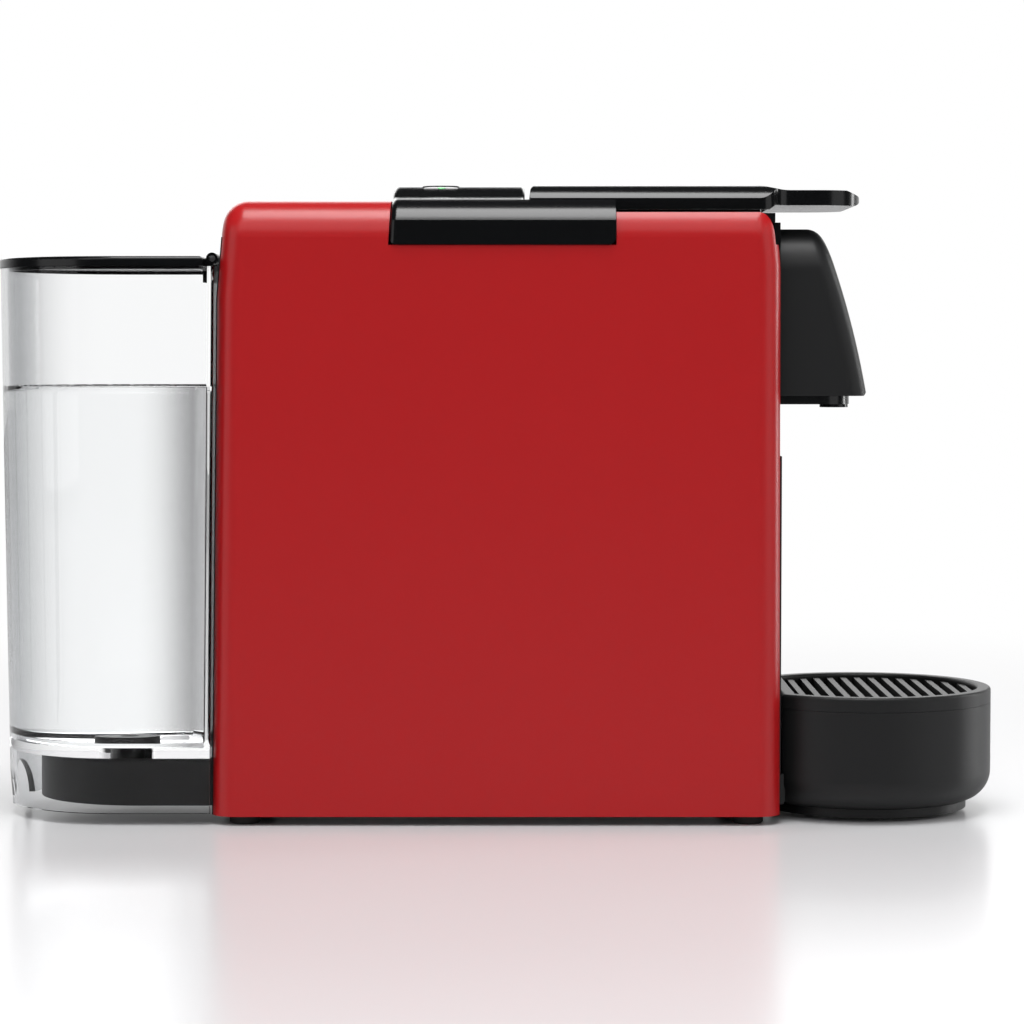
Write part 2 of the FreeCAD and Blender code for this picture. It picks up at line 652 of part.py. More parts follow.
def buttons():
    """Two push buttons whose tops follow the panel, each with a flange under the skin."""
    for side, label in ((-1, "espresso_button"), (1, "lungo_button")):
        where = {"x": "-button_back", "y": f"{side} * button_side"}
        cap = common(saddle_form("button_sink"),
                     rod("button_radius", "flange_top - flange_thick", "crown_top", **where))
        flange = rod("button_radius + flange_wide", "flange_top - flange_thick - flange_drop",
                     "flange_top - flange_drop", **where)
        stem = rod("2", "switch_top + button_travel + button_gap", "flange_top", **where)
        keep(join(cap, flange, stem), label)


def button_board():
    """Small board under the panel with a switch below each button."""
    board = box(("-button_back - 9", "-button_back + 9"),
                ("-button_side - 6", "button_side + 6"), ("board_level", "board_level + board_thick"))
    switches = [box(("-button_back - 3", "-button_back + 3"),
                    (f"{side} * button_side - 3", f"{side} * button_side + 3"),
                    ("board_level + board_thick", "switch_top")) for side in (1, -1)]
    keep(join(board, *switches), "button_board")


# -------------------------------------------------------------- lever and links
def lever():
    """Flat lever with skirts, a narrower tongue over the spout and two crank webs."""
    side = sketched("XZ_Plane", [
        ("lever_rear", "lever_low"),
        ("skirt_front", "lever_low"),
        ("skirt_front + 2", "tongue_low"),
        ("lever_front - 3", "tongue_low", "smooth"),
        ("lever_front", "tongue_low + 1.6"),
        ("lever_front", "tongue_top - 2.9", "smooth"),
        ("lever_front - 1", "tongue_top - 1.5"),
        ("tongue_nose", "tongue_top"),
        ("tongue_start", "tongue_top", "smooth"),
        ("(lever_flat + tongue_start) / 2", "(lever_top + tongue_top) / 2", "smooth"),
        ("lever_flat", "lever_top"),
        ("lever_rear + lever_heel", "lever_top", "smooth"),
        ("lever_rear", "lever_top - lever_heel"),
    ], "-lever_half", "lever_half")
    across = sketched("YZ_Plane", [
        ("-lever_half", "lever_low - 1"),
        ("lever_half", "lever_low - 1"),
        ("lever_half", "lever_top - lever_edge", ("left", "dome_radius")),
        ("lever_half - lever_dome", "lever_top"),
        ("-lever_half + lever_dome", "lever_top", ("left", "dome_radius")),
        ("-lever_half", "lever_top - lever_edge"),
    ], "lever_rear - 1", "lever_front + 1")
    middle = ("(lever_taper + tongue_start) / 2", "(lever_half + tongue_half) / 2")
    plan = sketched("XY_Plane", [
        ("lever_rear - 1", "-lever_half"),
        ("lever_taper", "-lever_half", "smooth"),
        (middle[0], f"-{middle[1]}", "smooth"),
        ("tongue_start", "-tongue_half"),
        ("lever_front - tongue_round", "-tongue_half", "smooth"),
        ("lever_front", "-tongue_half + tongue_round"),
        ("lever_front", "tongue_half - tongue_round", "smooth"),
        ("lever_front - tongue_round", "tongue_half"),
        ("tongue_start", "tongue_half", "smooth"),
        middle + ("smooth",),
        ("lever_taper", "lever_half"),
        ("lever_rear - 1", "lever_half"),
    ], "lever_low - 2", "lever_top + 1")
    blade = common(common(side, across), plan)
    hollow = box(("lever_rear - 1", "skirt_front + 2"), ("-slot_half", "slot_half"),
                 ("lever_low - 1", "lever_top - lever_skin"))
    webs = []
    for low, high in (("web_inner", "web_outer"), ("-web_outer", "-web_inner")):
        web = sketched("XZ_Plane", [
            ("pivot_x - crank_radius", "lever_top - lever_skin + 0.5"),
            ("pivot_x - crank_radius", "pivot_z"),
            ("crank_x - crank_radius", "crank_z"),
            ("crank_x + crank_radius", "crank_z"),
            ("crank_x + crank_radius", "lever_top - lever_skin + 0.5"),
        ], low, high)
        round_end = rod("crank_radius", low, high, axis="Y", x="crank_x", z="crank_z")
        webs.append(join(web, round_end))
    bore = rod("shaft_radius + running_gap", "-web_outer - 1", "web_outer + 1", axis="Y",
               x="pivot_x", z="pivot_z")
    eyes = [rod("crank_pin_radius + running_gap", a, b, axis="Y", x="crank_x", z="crank_z")
            for a, b in (("web_inner - 1", "web_outer + 1"), ("-web_outer - 1", "-web_inner + 1"))]
    keep(cut(join(cut(blade, hollow), *webs), bore, *eyes), "lever")
    stubs = [rod("shaft_radius", a, b, axis="Y", x="pivot_x", z="pivot_z")
             for a, b in (("web_inner", "plate_outer"), ("-plate_outer", "-web_inner"))]
    keep(group(*stubs), "lever_shaft")
    pins = [rod("crank_pin_radius", a, b, axis="Y", x="crank_x", z="crank_z")
            for a, b in (("link_outer + fit", "web_outer"), ("-web_outer", "-link_outer - fit"))]
    keep(group(*pins), "crank_pins")


def links():
    """Two toggle links, inside the crank webs, from the cranks to the cage's trunnions."""
    lean_x = "link_half * reach_down / closed_reach"
    lean_z = "link_half * reach_along / closed_reach"
    for low, high, label in (("link_inner", "link_outer", "left_link"),
                             ("-link_outer", "-link_inner", "right_link")):
        bar = sketched("XZ_Plane", [
            (f"crank_x + {lean_x}", f"crank_z + {lean_z}"),
            (f"trunnion_x + {lean_x}", f"brew_axis + {lean_z}", "smooth"),
            (f"trunnion_x - {lean_x}", f"brew_axis - {lean_z}"),
            (f"crank_x - {lean_x}", f"crank_z - {lean_z}", "smooth"),
        ], low, high)
        eyes = [rod("trunnion_radius + running_gap", f"{low} - 1", f"{high} + 1", axis="Y",
                    x="trunnion_x", z="brew_axis"),
                rod("crank_pin_radius + fit", f"{low} - 1", f"{high} + 1", axis="Y",
                    x="crank_x", z="crank_z")]
        keep(cut(bar, *eyes), label)


# --------------------------------------------------------------------- brew unit
def capsule_cage():
    """Cup that carries the capsule, with its seal, pins, blades and water spigot."""
    cup = turned([
        ("0", "cage_rear"), ("cage_radius", "cage_rear"), ("cage_radius", "cage_front"),
        ("pocket_front", "cage_front"), ("pocket_rear", "cage_front - pocket_deep"),
        ("0", "cage_front - pocket_deep"),
    ], z="brew_axis", axis="X")
    boss = rod("6", "cage_rear - 8", "cage_rear", axis="X", z="brew_axis")
    spigot = rod("spigot_radius", "cage_rear - 14", "cage_rear", axis="X", z="brew_axis")
    bore = rod("hose_bore", "cage_rear - 15", "cage_front - pocket_deep + 1", axis="X",
               z="brew_axis")
    pins, sockets = [], []
    for x in ("trunnion_x", "guide_x"):
        for side in (1, -1):
            ends = ("pin_inner", "plate_outer") if side > 0 else ("-plate_outer", "-pin_inner")
            pins.append(rod("trunnion_radius", *ends, axis="Y", x=x, z="brew_axis"))
            sockets.append(rod("trunnion_radius + running_gap", *ends, axis="Y", x=x,
                               z="brew_axis"))
    keep(cut(join(cup, boss, spigot), bore, *sockets), "capsule_cage")
    keep(group(*pins), "trunnion_pins")
    keep(tube("cage_radius - 2", "pocket_front + fit", "cage_front", "cage_front + seal_thick",
              axis="X", z="brew_axis"), "cage_seal")
    blades = []
    for step in range(3):
        angle = math.radians(90 + 120 * step)
        blade = doc.addObject("Part::Cone", "blade")
        aim(blade, "X")
        bind(blade, Radius1="1.2", Radius2="0", Height="5")
        blades.append(place(blade, "cage_front - pocket_deep", f"7 * {math.cos(angle):.6f}",
                            f"brew_axis + 7 * {math.sin(angle):.6f}"))
    keep(group(*blades), "piercing_blades")


def frame_plates():
    """Two cheek plates with the guide slots and the ears that carry the lever's shaft."""
    slot = "(trunnion_radius + slot_gap)"
    for low, high, label in (("plate_inner", "plate_outer", "left_frame_plate"),
                             ("-plate_outer", "-plate_inner", "right_frame_plate")):
        plate = sketched("XZ_Plane", [
            ("frame_rear", "shelf_top"), ("frame_front", "shelf_top"),
            ("frame_front", "frame_top"), ("pivot_x + ear_radius", "frame_top"),
            ("pivot_x + ear_radius", "pivot_z", "smooth"),
            ("pivot_x - ear_radius", "pivot_z"), ("pivot_x - ear_radius", "frame_top"),
            ("frame_rear", "frame_top"),
        ], low, high)
        through = (f"{low} - 1", f"{high} + 1")
        guide = box((f"guide_x - cage_travel - {slot}", f"trunnion_x + {slot}"), through,
                    (f"brew_axis - ({slot})", f"brew_axis + {slot}"))
        shaft = rod("shaft_radius + running_gap", *through, axis="Y", x="pivot_x", z="pivot_z")
        ties = [rod("tie_radius + running_gap", *through, axis="Y", x="frame_rear + 5", z=z)
                for z in tie_levels()]
        keep(cut(plate, guide, shaft, *ties), label)


def tie_levels():
    return ("shelf_top + 7", "frame_top - 6")


def frame_ties():
    """Two bars that hold the rear of the cheek plates apart."""
    keep(group(*[rod("tie_radius", "-plate_outer", "plate_outer", axis="Y", x="frame_rear + 5",
                     z=z) for z in tie_levels()]), "frame_ties")


def brew_head():
    """Fixed front half of the brew chamber, with the perforated extraction plate."""
    block = box(("head_rear", "head_rear + head_thick"), ("-plate_inner", "plate_inner"),
                ("shelf_top", "frame_top"))
    recess = rod("disc_radius + running_gap", "head_rear - 1", "head_rear + disc_thick", axis="X",
                 z="brew_axis")
    chamber = rod("disc_radius - 3", "head_rear", "head_rear + disc_thick + 3", axis="X",
                  z="brew_axis")
    outlet = rod("duct_bore", "head_rear + disc_thick", "head_rear + head_thick + 1", axis="X",
                 z="duct_z")
    keep(cut(block, recess, chamber, outlet), "brew_head")
    holes = []
    for ring, count in ((5, 6), (10, 12)):
        for step in range(count):
            angle = 2 * math.pi * step / count
            holes.append(rod("0.6", "head_rear - 1", "head_rear + disc_thick + 1", axis="X",
                             y=f"{ring} * {math.cos(angle):.6f}",
                             z=f"brew_axis + {ring} * {math.sin(angle):.6f}"))
    disc = rod("disc_radius", "head_rear", "head_rear + disc_thick", axis="X", z="brew_axis")
    keep(cut(disc, *holes), "extraction_plate")


def brew_shelf():
    """Shelf that carries the brew unit on the bulkhead, and the chute below it."""
    wide = ("-inner_half + fit", "inner_half - fit")
    plate = box(("shelf_rear", "frame_front"), wide, ("shelf_low", "shelf_top"))
    plate = round_edges(plate, [(lambda e: runs_along(e, "Z", 1) and e.CenterOfMass.x > 0,
                                 "corner_round - wall + fit")])
    shelf = join(plate,
                 box(("frame_front - 1", "frame_face - wall - fit"), ("-panel_half", "panel_half"),
                     ("shelf_low", "shelf_top")))
    pass_hole = rod("hose_radius + 1", "shelf_low - 1", "shelf_top + 1", x="heater_out_x")
    chute = box(("drop_rear - chute_wall", "head_rear + 1 + chute_wall"),
                ("-drop_half - chute_wall", "drop_half + chute_wall"), ("chute_low", "shelf_low"))
    shaft = box(("drop_rear", "head_rear + 1"), ("-drop_half", "drop_half"),
                ("chute_low - 1", "shelf_top + 1"))
    keep(cut(join(shelf, chute), shaft, pass_hole), "brew_shelf")
    keep(box(("bulkhead_x", "bulkhead_x + bulkhead_thick"), wide, ("base_top", "shelf_low")),
         "bulkhead")


def front_frame():
    """Black plate behind the spout that closes the front between the shells."""
    plate = box(("frame_face - wall", "frame_face"), ("-panel_half", "panel_half"),
                ("chute_low", "deck_top - deck_thick"))
    hole = rod("hose_radius + fit", "frame_face - wall - 1", "frame_face + 1", axis="X",
               z="duct_z")
    keep(cut(plate, hole), "front_frame")


def top_deck():
    """Bed under the lever with the capsule slot."""
    deck = sketched("XY_Plane", [
        ("deck_front", "-deck_half"), ("deck_front", "deck_half"),
        ("saddle_front + fit * 2", "deck_half"), ("saddle_front + fit * 2", "cheek_inner - fit"),
        ("deck_rear", "cheek_inner - fit"), ("deck_rear", "slot_half"),
        ("slot_front", "slot_half"), ("slot_front", "-slot_half"),
        ("deck_rear", "-slot_half"), ("deck_rear", "-cheek_inner + fit"),
        ("saddle_front + fit * 2", "-cheek_inner + fit"), ("saddle_front + fit * 2", "-deck_half"),
    ], "deck_top - deck_thick", "deck_top")
    pads = [box(("slot_front + 4", "frame_front"), span, ("frame_top", "deck_top - deck_thick"))
            for span in (("plate_inner - 1", "plate_outer"), ("-plate_outer", "-plate_inner + 1"))]
    keep(join(deck, *pads), "top_deck")


# ------------------------------------------------------------------------- spout
def spout_form(inset, rear, low):
    """The nose or its hollow: a bowed side outline within an arched cross-section."""
    top = f"spout_top - {inset}"
    side = sketched("XZ_Plane", [
        (rear, low),
        (f"spout_lip_x - {inset} - 1", low),
        (f"spout_lip_x - {inset}", "spout_lip_z", ("left", "spout_bow")),
        (f"spout_brow_x - {inset}", top),
        (rear, top),
    ], f"-spout_half + {inset}", f"spout_half - {inset}")
    wide, arch = f"(spout_half - {inset})", f"(spout_arch - {inset})"
    across = sketched("YZ_Plane", [
        (f"-{wide}", "spout_low - 2"),
        (wide, "spout_low - 2"),
        (wide, f"{top} - {arch}", "smooth"),
        (f"{wide} - {arch}", top),
        (f"-{wide} + {arch}", top, "smooth"),
        (f"-{wide}", f"{top} - {arch}"),
    ], "frame_face - 2", "spout_lip_x + 1")
    form = common(side, across)
    front = size("spout_brow_x") - size(inset) - 0.5
    return round_edges(form, [
        (lambda e: e.BoundBox.XMin > front and e.BoundBox.ZMax > size("spout_lip_z") + 1
         and not (e.BoundBox.YLength > 20 and e.BoundBox.ZMax < size("spout_low") + 5),
         f"spout_round - {inset}")])


def spout_casing():
    """Hollow nose over the outlet, open below and behind."""
    keep(cut(spout_form("0", "frame_face", "spout_low"),
             spout_form("wall", "frame_face - 1", "spout_low - 1")), "spout_casing")


def spout_parts():
    """Plate under the nose, the coffee nozzle in it and the duct from the brew head."""
    plate = sketched("XY_Plane", [
        ("frame_face", "-under_half"),
        ("under_front - under_round", "-under_half", "smooth"),
        ("under_front", "-under_half + under_round"),
        ("under_front", "under_half - under_round", "smooth"),
        ("under_front - under_round", "under_half"),
        ("frame_face", "under_half"),
    ], "spout_low - under_thick", "spout_low")
    keep(cut(plate, rod("nozzle_radius + fit", "spout_low - under_thick - 1", "spout_low + 1",
                        x="nozzle_x")), "spout_underplate")
    keep(turned([
        ("hose_radius + fit", "nozzle_low"), ("nozzle_radius", "nozzle_low"),
        ("nozzle_radius", "spout_low"), ("collar_radius", "spout_low"),
        ("collar_radius", "spout_low + 1.6"), ("nozzle_radius", "spout_low + 1.6"),
        ("nozzle_radius", "duct_z - 5"), ("hose_radius + fit", "duct_z - 5"),
    ], x="nozzle_x"), "coffee_nozzle")
    keep(hose([("head_rear + head_thick", "0", "duct_z"), ("nozzle_x", "0", "duct_z"),
               ("nozzle_x", "0", "duct_z - 7")], "4"), "outlet_duct")


# --------------------------------------------------------------------- drip unit
def drip_tray():
    """Round bowl in front, with a long tongue that carries the capsule bin inside."""
    bowl = turned([
        ("0", "tray_floor"), ("tray_ring - ring_wide", "tray_floor"),
        ("tray_ring - ring_wide", "tray_low"), ("tray_ring", "tray_low"),
        ("tray_ring", "tray_floor + tray_bend - sqrt(tray_bend ^ 2 - (tray_ring - tray_radius"
         " + tray_bend) ^ 2)", ("left", "tray_bend")),
        ("tray_radius", "tray_floor + tray_bend"), ("tray_radius", "tray_rim"), ("0", "tray_rim"),
    ], x="tray_x")
    well = turned([
        ("0", "tray_floor + tray_wall"),
        ("tray_radius - tray_bend", "tray_floor + tray_wall", ("left", "tray_bend - tray_wall")),
        ("tray_radius - tray_wall", "tray_floor + tray_bend"),
        ("tray_radius - tray_wall", "tray_rim + 1"), ("0", "tray_rim + 1"),
    ], x="tray_x")
    ahead = ("-tray_radius - 1", "tray_radius + 1")
    cup = cut(common(bowl, box(("tray_back", "half_length + tray_reach + 1"), ahead,
                               ("tray_low - 1", "tray_rim"))),
              common(well, box(("tray_back + tray_wall", "half_length + tray_reach + 1"), ahead,
                               ("tray_floor", "tray_rim + 2"))))
    tongue = cut(box(("tongue_rear", "tray_back + tray_wall / 2"),
                     ("-tongue_half_wide", "tongue_half_wide"), ("tongue_floor", "tongue_high")),
                 box(("tongue_rear + tray_wall", "tray_back"),
                     ("-tongue_half_wide + tray_wall", "tongue_half_wide - tray_wall"),
                     ("tongue_floor + tongue_thick", "tongue_high + 1")),
                 box(("tray_back - 0.01", "tray_back + tray_wall"),
                     ("chord", "tongue_half_wide + 1"), ("tongue_floor - 1", "tongue_high + 1")),
                 box(("tray_back - 0.01", "tray_back + tray_wall"),
                     ("-tongue_half_wide - 1", "-(chord)"), ("tongue_floor - 1", "tongue_high + 1")))
    keep(join(cup, tongue), "drip_tray")


def capsule_bin():
    """Open box for used capsules; its front is the lower front of the machine."""
    outer = box(("bin_rear", "half_length"), ("-bin_half", "bin_half"), ("bin_low", "bin_top"))
    face = box(("half_length - wall", "half_length"), ("-tongue_half_wide", "tongue_half_wide"),
               ("tongue_high + unit_gap / 2", "bin_face_top"))
    inner = box(("bin_rear + tray_wall", "half_length - wall"),
                ("-bin_half + tray_wall", "bin_half - tray_wall"),
                ("bin_low + tray_wall", "bin_top + 1"))
    keep(cut(join(outer, face), inner), "capsule_bin")
    low = "bin_low + tray_wall"
    plate = box(("bin_rear + tray_wall + fit", "half_length - wall - fit"),
                ("-bin_half + tray_wall + fit", "bin_half - tray_wall - fit"),
                ("grate_level", "grate_level + grate_thick"))
    count = int((size("half_length - bin_rear") - 12) / 8)
    slots = [box((f"bin_rear + 8 + {8 * step}", f"bin_rear + 12 + {8 * step}"),
                 ("-bin_half + 8", "bin_half - 8"), ("grate_level - 1", "grate_level + grate_thick + 1"))
             for step in range(count)]
    legs = [rod("2", low, "grate_level + 0.5", x=x, y=f"{side} * (bin_half - 6)")
            for x in ("bin_rear + 6", "half_length - 6") for side in (1, -1)]
    keep(join(cut(plate, *slots), *legs), "bin_grate")


def drip_grid():
    """Round grille with a raised rim, on which the cup stands."""
    low = "tray_rim + fit / 2"
    ahead = box(("tray_back", "half_length + tray_reach + 1"), ("-tray_radius - 1", "tray_radius + 1"),
                ("tray_low", "grid_top + 1"))
    inside = box(("tray_back + grid_rim", "half_length + tray_reach + 1"),
                 ("-tray_radius - 1", "tray_radius + 1"), ("tray_low", "grid_top + 2"))
    rim = round_edges(cut(common(rod("tray_radius", low, "grid_top", x="tray_x"), ahead),
                          common(rod("tray_radius - grid_rim", f"{low} - 1", "grid_top + 1",
                                     x="tray_x"), inside)),
                      [(lambda e: e.CenterOfMass.z > size("grid_top") - 0.05, "grid_edge")])
    lip = common(tube("tray_radius - tray_wall - 0.3", "tray_radius - tray_wall - 1.8",
                      f"{low} - lip_deep", f"{low} + 0.5", x="tray_x"),
                 box(("tray_back + tray_wall + 0.3", "half_length + tray_reach + 1"),
                     ("-tray_radius", "tray_radius"), ("tray_low", "grid_top")))
    span = size("half_length + tray_reach - tray_back - grid_rim * 2")
    count = int(span / size("bar_pitch"))
    first = size("tray_back + grid_rim") + (span - (count - 1) * size("bar_pitch")) / 2
    shift = first - size("tray_back")
    bars = []
    for step in range(count):
        middle = f"tray_back + {shift:.4f} + {step} * bar_pitch"
        bars.append(box((f"{middle} - bar_wide / 2", f"{middle} + bar_wide / 2"),
                        ("-tray_radius", "tray_radius"), (low, "bar_top")))
    grille = common(join(*bars), rod("tray_radius - grid_rim + 0.5", low, "bar_top", x="tray_x"))
    keep(join(rim, lip, grille), "drip_grid")


# -------------------------------------------------------------------------- tank
def dee(half, front="-tank_front", centre="-tank_x"):
    """A D in plan: straight front, straight sides and a round rear."""
    return [(front, f"-({half})"), (centre, f"-({half})", "smooth"), (centre, half),
            (front, half)]


def tank_half_at(level):
    return f"tank_half - tank_draft * (tank_top - ({level})) / (tank_top - tank_low)"


def tank_face(level, inset):
    """Where the tank's front leans to at a level, beside the body's rear face."""
    return (f"-tank_front - ({inset})"
            f" + rear_lean * (({level}) - foot_height) / (rear_knee - foot_height)")


def drafted(low, high, inset, ahead):
    """A D-shaped block that narrows downwards: half a cone and a slab ahead of it."""
    at_low = f"{tank_half_at(low)} - ({inset})"
    at_high = f"{tank_half_at(high)} - ({inset})"
    rear = doc.addObject("Part::Cone", "cone")
    bind(rear, Radius1=at_low, Radius2=at_high, Height=f"({high}) - ({low})")
    place(rear, "-tank_x", "0", low)
    slab = sketched("YZ_Plane", [
        (f"-({at_low})", low), (at_low, low), (at_high, high), (f"-({at_high})", high),
    ], "-tank_x", "-half_length + rear_lean + 2")
    front = sketched("XZ_Plane", [
        ("-tank_x - 1", low), (tank_face(low, ahead), low),
        (tank_face(high, ahead), high), ("-tank_x - 1", high),
    ], "-tank_half - 1", "tank_half + 1")
    behind = box(("-tank_x - tank_half - 1", "-tank_x"), ("-tank_half - 1", "tank_half + 1"),
                 (f"({low}) - 1", f"({high}) + 1"))
    return join(common(rear, behind), common(slab, front))


def water_tank():
    """Clear D-shaped tank with a skirt that drops over the dock, and hinge ears."""
    outer = round_edges(drafted("tank_low", "tank_top", "0", "0"), [
        (lambda e: runs_along(e, "Z", 20) and e.CenterOfMass.x > -size("tank_front") - 0.1, "0.9")])
    inner = drafted("tank_floor", "tank_top + 1", "tank_wall", "tank_wall")
    skirt = drafted("tank_low - 1", "tank_floor - floor_thick", "tank_wall", "-1")
    notch = rod("notch_half", "-half_length - tank_depth - 1", "-half_length - tank_depth + 9",
                axis="X", z="tank_low - notch_below")
    port = rod("valve_radius + fit", "tank_floor - floor_thick - 1", "tank_floor + 1",
               x="-valve_x")
    ears = []
    for a, b in (("ear_inner", "ear_outer"), ("-ear_outer", "-ear_inner")):
        ear = join(box(("-lid_axis_x - knuckle_radius", "-lid_axis_x + knuckle_radius / 2"),
                       (a, b), ("tank_top - 4", "lid_axis_z")),
                   rod("knuckle_radius", a, b, axis="Y", x="-lid_axis_x", z="lid_axis_z"))
        ears.append(cut(ear, rod("lid_pin_radius + running_gap", a, b, axis="Y",
                                 x="-lid_axis_x", z="lid_axis_z")))
    keep(join(cut(outer, inner, skirt, notch, port), *ears), "water_tank")


def tank_lid():
    """Black lid with a plug rim and a finger tab, on two short pins."""
    front = "-lid_axis_x - knuckle_radius - fit"
    top = "lid_low + lid_thick"
    plate = sketched("XY_Plane", dee("overall_half", front), "lid_low", top)
    softened(plate, "1.2", lambda e: e.BoundBox.ZLength < 0.01
             and e.CenterOfMass.z > size("lid_low") + 1)
    low = "lid_low - plug_deep"
    plug = cut(sketched("XY_Plane", dee("tank_half - tank_wall - 0.6", f"{front} - 1"),
                        low, "lid_low + 0.5"),
               sketched("XY_Plane", dee("tank_half - tank_wall - 1.9", f"{front} - 2.5"),
                        f"{low} - 1", "lid_low"))
    tab = box((f"{front} - 3.2", f"{front} - 1"), ("-6", "6"), ("lid_low - 4.6", "lid_low + 0.5"))
    axis = {"axis": "Y", "x": "-lid_axis_x", "z": "lid_axis_z"}
    knuckles = []
    for a, b in (("-ear_inner + fit", "ear_inner - fit"), ("ear_outer + fit", "knuckle_reach"),
                 ("-knuckle_reach", "-ear_outer - fit")):
        knuckles += [rod("knuckle_radius", a, b, **axis),
                     box((f"{front} - 1", "-lid_axis_x"), (a, b), ("lid_low", "lid_axis_z"))]
    bore = rod("lid_pin_radius + running_gap", "-knuckle_reach - 1", "knuckle_reach + 1", **axis)
    clear = [box((f"{front} - 3", "-lid_axis_x + knuckle_radius + 1"), span,
                 ("lid_low - 1", "lid_low + 6"))
             for span in (("ear_inner - fit", "ear_outer + fit"),
                          ("-ear_outer - fit", "-ear_inner + fit"))]
    keep(cut(join(cut(plate, *clear), plug, tab, *knuckles), bore), "tank_lid")
    pins = [rod("lid_pin_radius", a, b, **axis)
            for a, b in (("ear_inner - 6", "ear_outer + 6"), ("-ear_outer - 6", "-ear_inner + 6"))]
    keep(group(*pins), "lid_pins")


def tank_valve():
    """Valve in the tank's floor: body, poppet held up by the dock's pin, and spring."""
    keep(turned([
        ("5.2", "14"), ("valve_radius", "14"), ("valve_radius", "tank_floor + 0.1"),
        ("valve_radius + 2", "tank_floor + 0.1"), ("valve_radius + 2", "tank_floor + 1.8"),
        ("3", "tank_floor + 1.8"), ("3", "tank_floor + 1"), ("5.2", "tank_floor + 1"),
        ("5.2", "seat_top"), ("2.6", "seat_top"), ("2.6", "seat_top - 2"), ("5.2", "seat_top - 2"),
    ], x="-valve_x"), "valve_body")
    keep(turned([
        ("0", "dock_pin_top + fit"), ("1.5", "dock_pin_top + fit"),
        ("1.5", "seat_top + poppet_lift"), ("4.4", "seat_top + poppet_lift"),
        ("4.4", "seat_top + poppet_lift + 1.5"), ("0", "seat_top + poppet_lift + 1.5"),
    ], x="-valve_x"), "valve_poppet")
    keep(coil("3.6", "0.4", "seat_top + poppet_lift + 1.5", "tank_floor + 1", 3, "-valve_x"),
         "valve_spring")


def coil(radius, wire, low, high, turns, x, axis="Z", z="0"):
    """A round-wire spring between two levels of its axis."""
    length = size(high) - size(low) - 2 * size(wire) - 0.2
    helix = Part.makeLongHelix(length / turns, length, size(radius))
    start = V(size(radius), 0, 0)
    ring = Part.Wire([Part.Circle(start, V(0, 1, 0), size(wire)).toShape()])
    item = doc.addObject("Part::Feature", "spring")
    item.Shape = Part.Wire(helix.Edges).makePipeShell([ring], True, True)
    begin = f"({low}) + ({wire}) + 0.1"
    aim(item, axis)
    return place(item, x, "0", begin) if axis == "Z" else place(item, begin, "0", z)


def tank_dock():
    """Black base on which the tank stands, with the valve cup and its seal."""
    solid = sketched("XY_Plane", dee("dock_half", "-half_length", "-dock_x"), "dock_low", "dock_top")
    softened(solid, "1.5", lambda e: e.BoundBox.ZLength < 0.01
             and e.CenterOfMass.z > size("dock_low") + 1 and e.CenterOfMass.x < -size("half_length") - 1)
    hollow = sketched("XY_Plane", dee("dock_half - dock_wall", "-half_length - dock_wall", "-dock_x"),
                      "dock_low - 1", "dock_top - dock_wall")
    cup = rod("cup_radius", "dock_low + 1", "dock_top - 1", x="-valve_x")
    bore = rod("valve_radius + 0.6", "dock_low + 3.5", "dock_top + 1", x="-valve_x")
    groove = rod("valve_radius + 1.7", "15", "17", x="-valve_x")
    pin = rod("1.5", "dock_low + 2", "dock_pin_top", x="-valve_x")
    outlet = rod("hose_bore", "-valve_x", "-valve_x + cup_radius + 1", axis="X", z="supply_z")
    gap = rod("hose_radius + fit", "-half_length - dock_wall - 1", "-half_length + 1", axis="X",
              z="supply_z")
    keep(join(cut(join(cut(solid, hollow), cup), bore, groove, outlet, gap), pin), "tank_dock")
    keep(tube("valve_radius + 1.6", "valve_radius + 0.35", "15.1", "16.9", x="-valve_x"),
         "dock_seal")


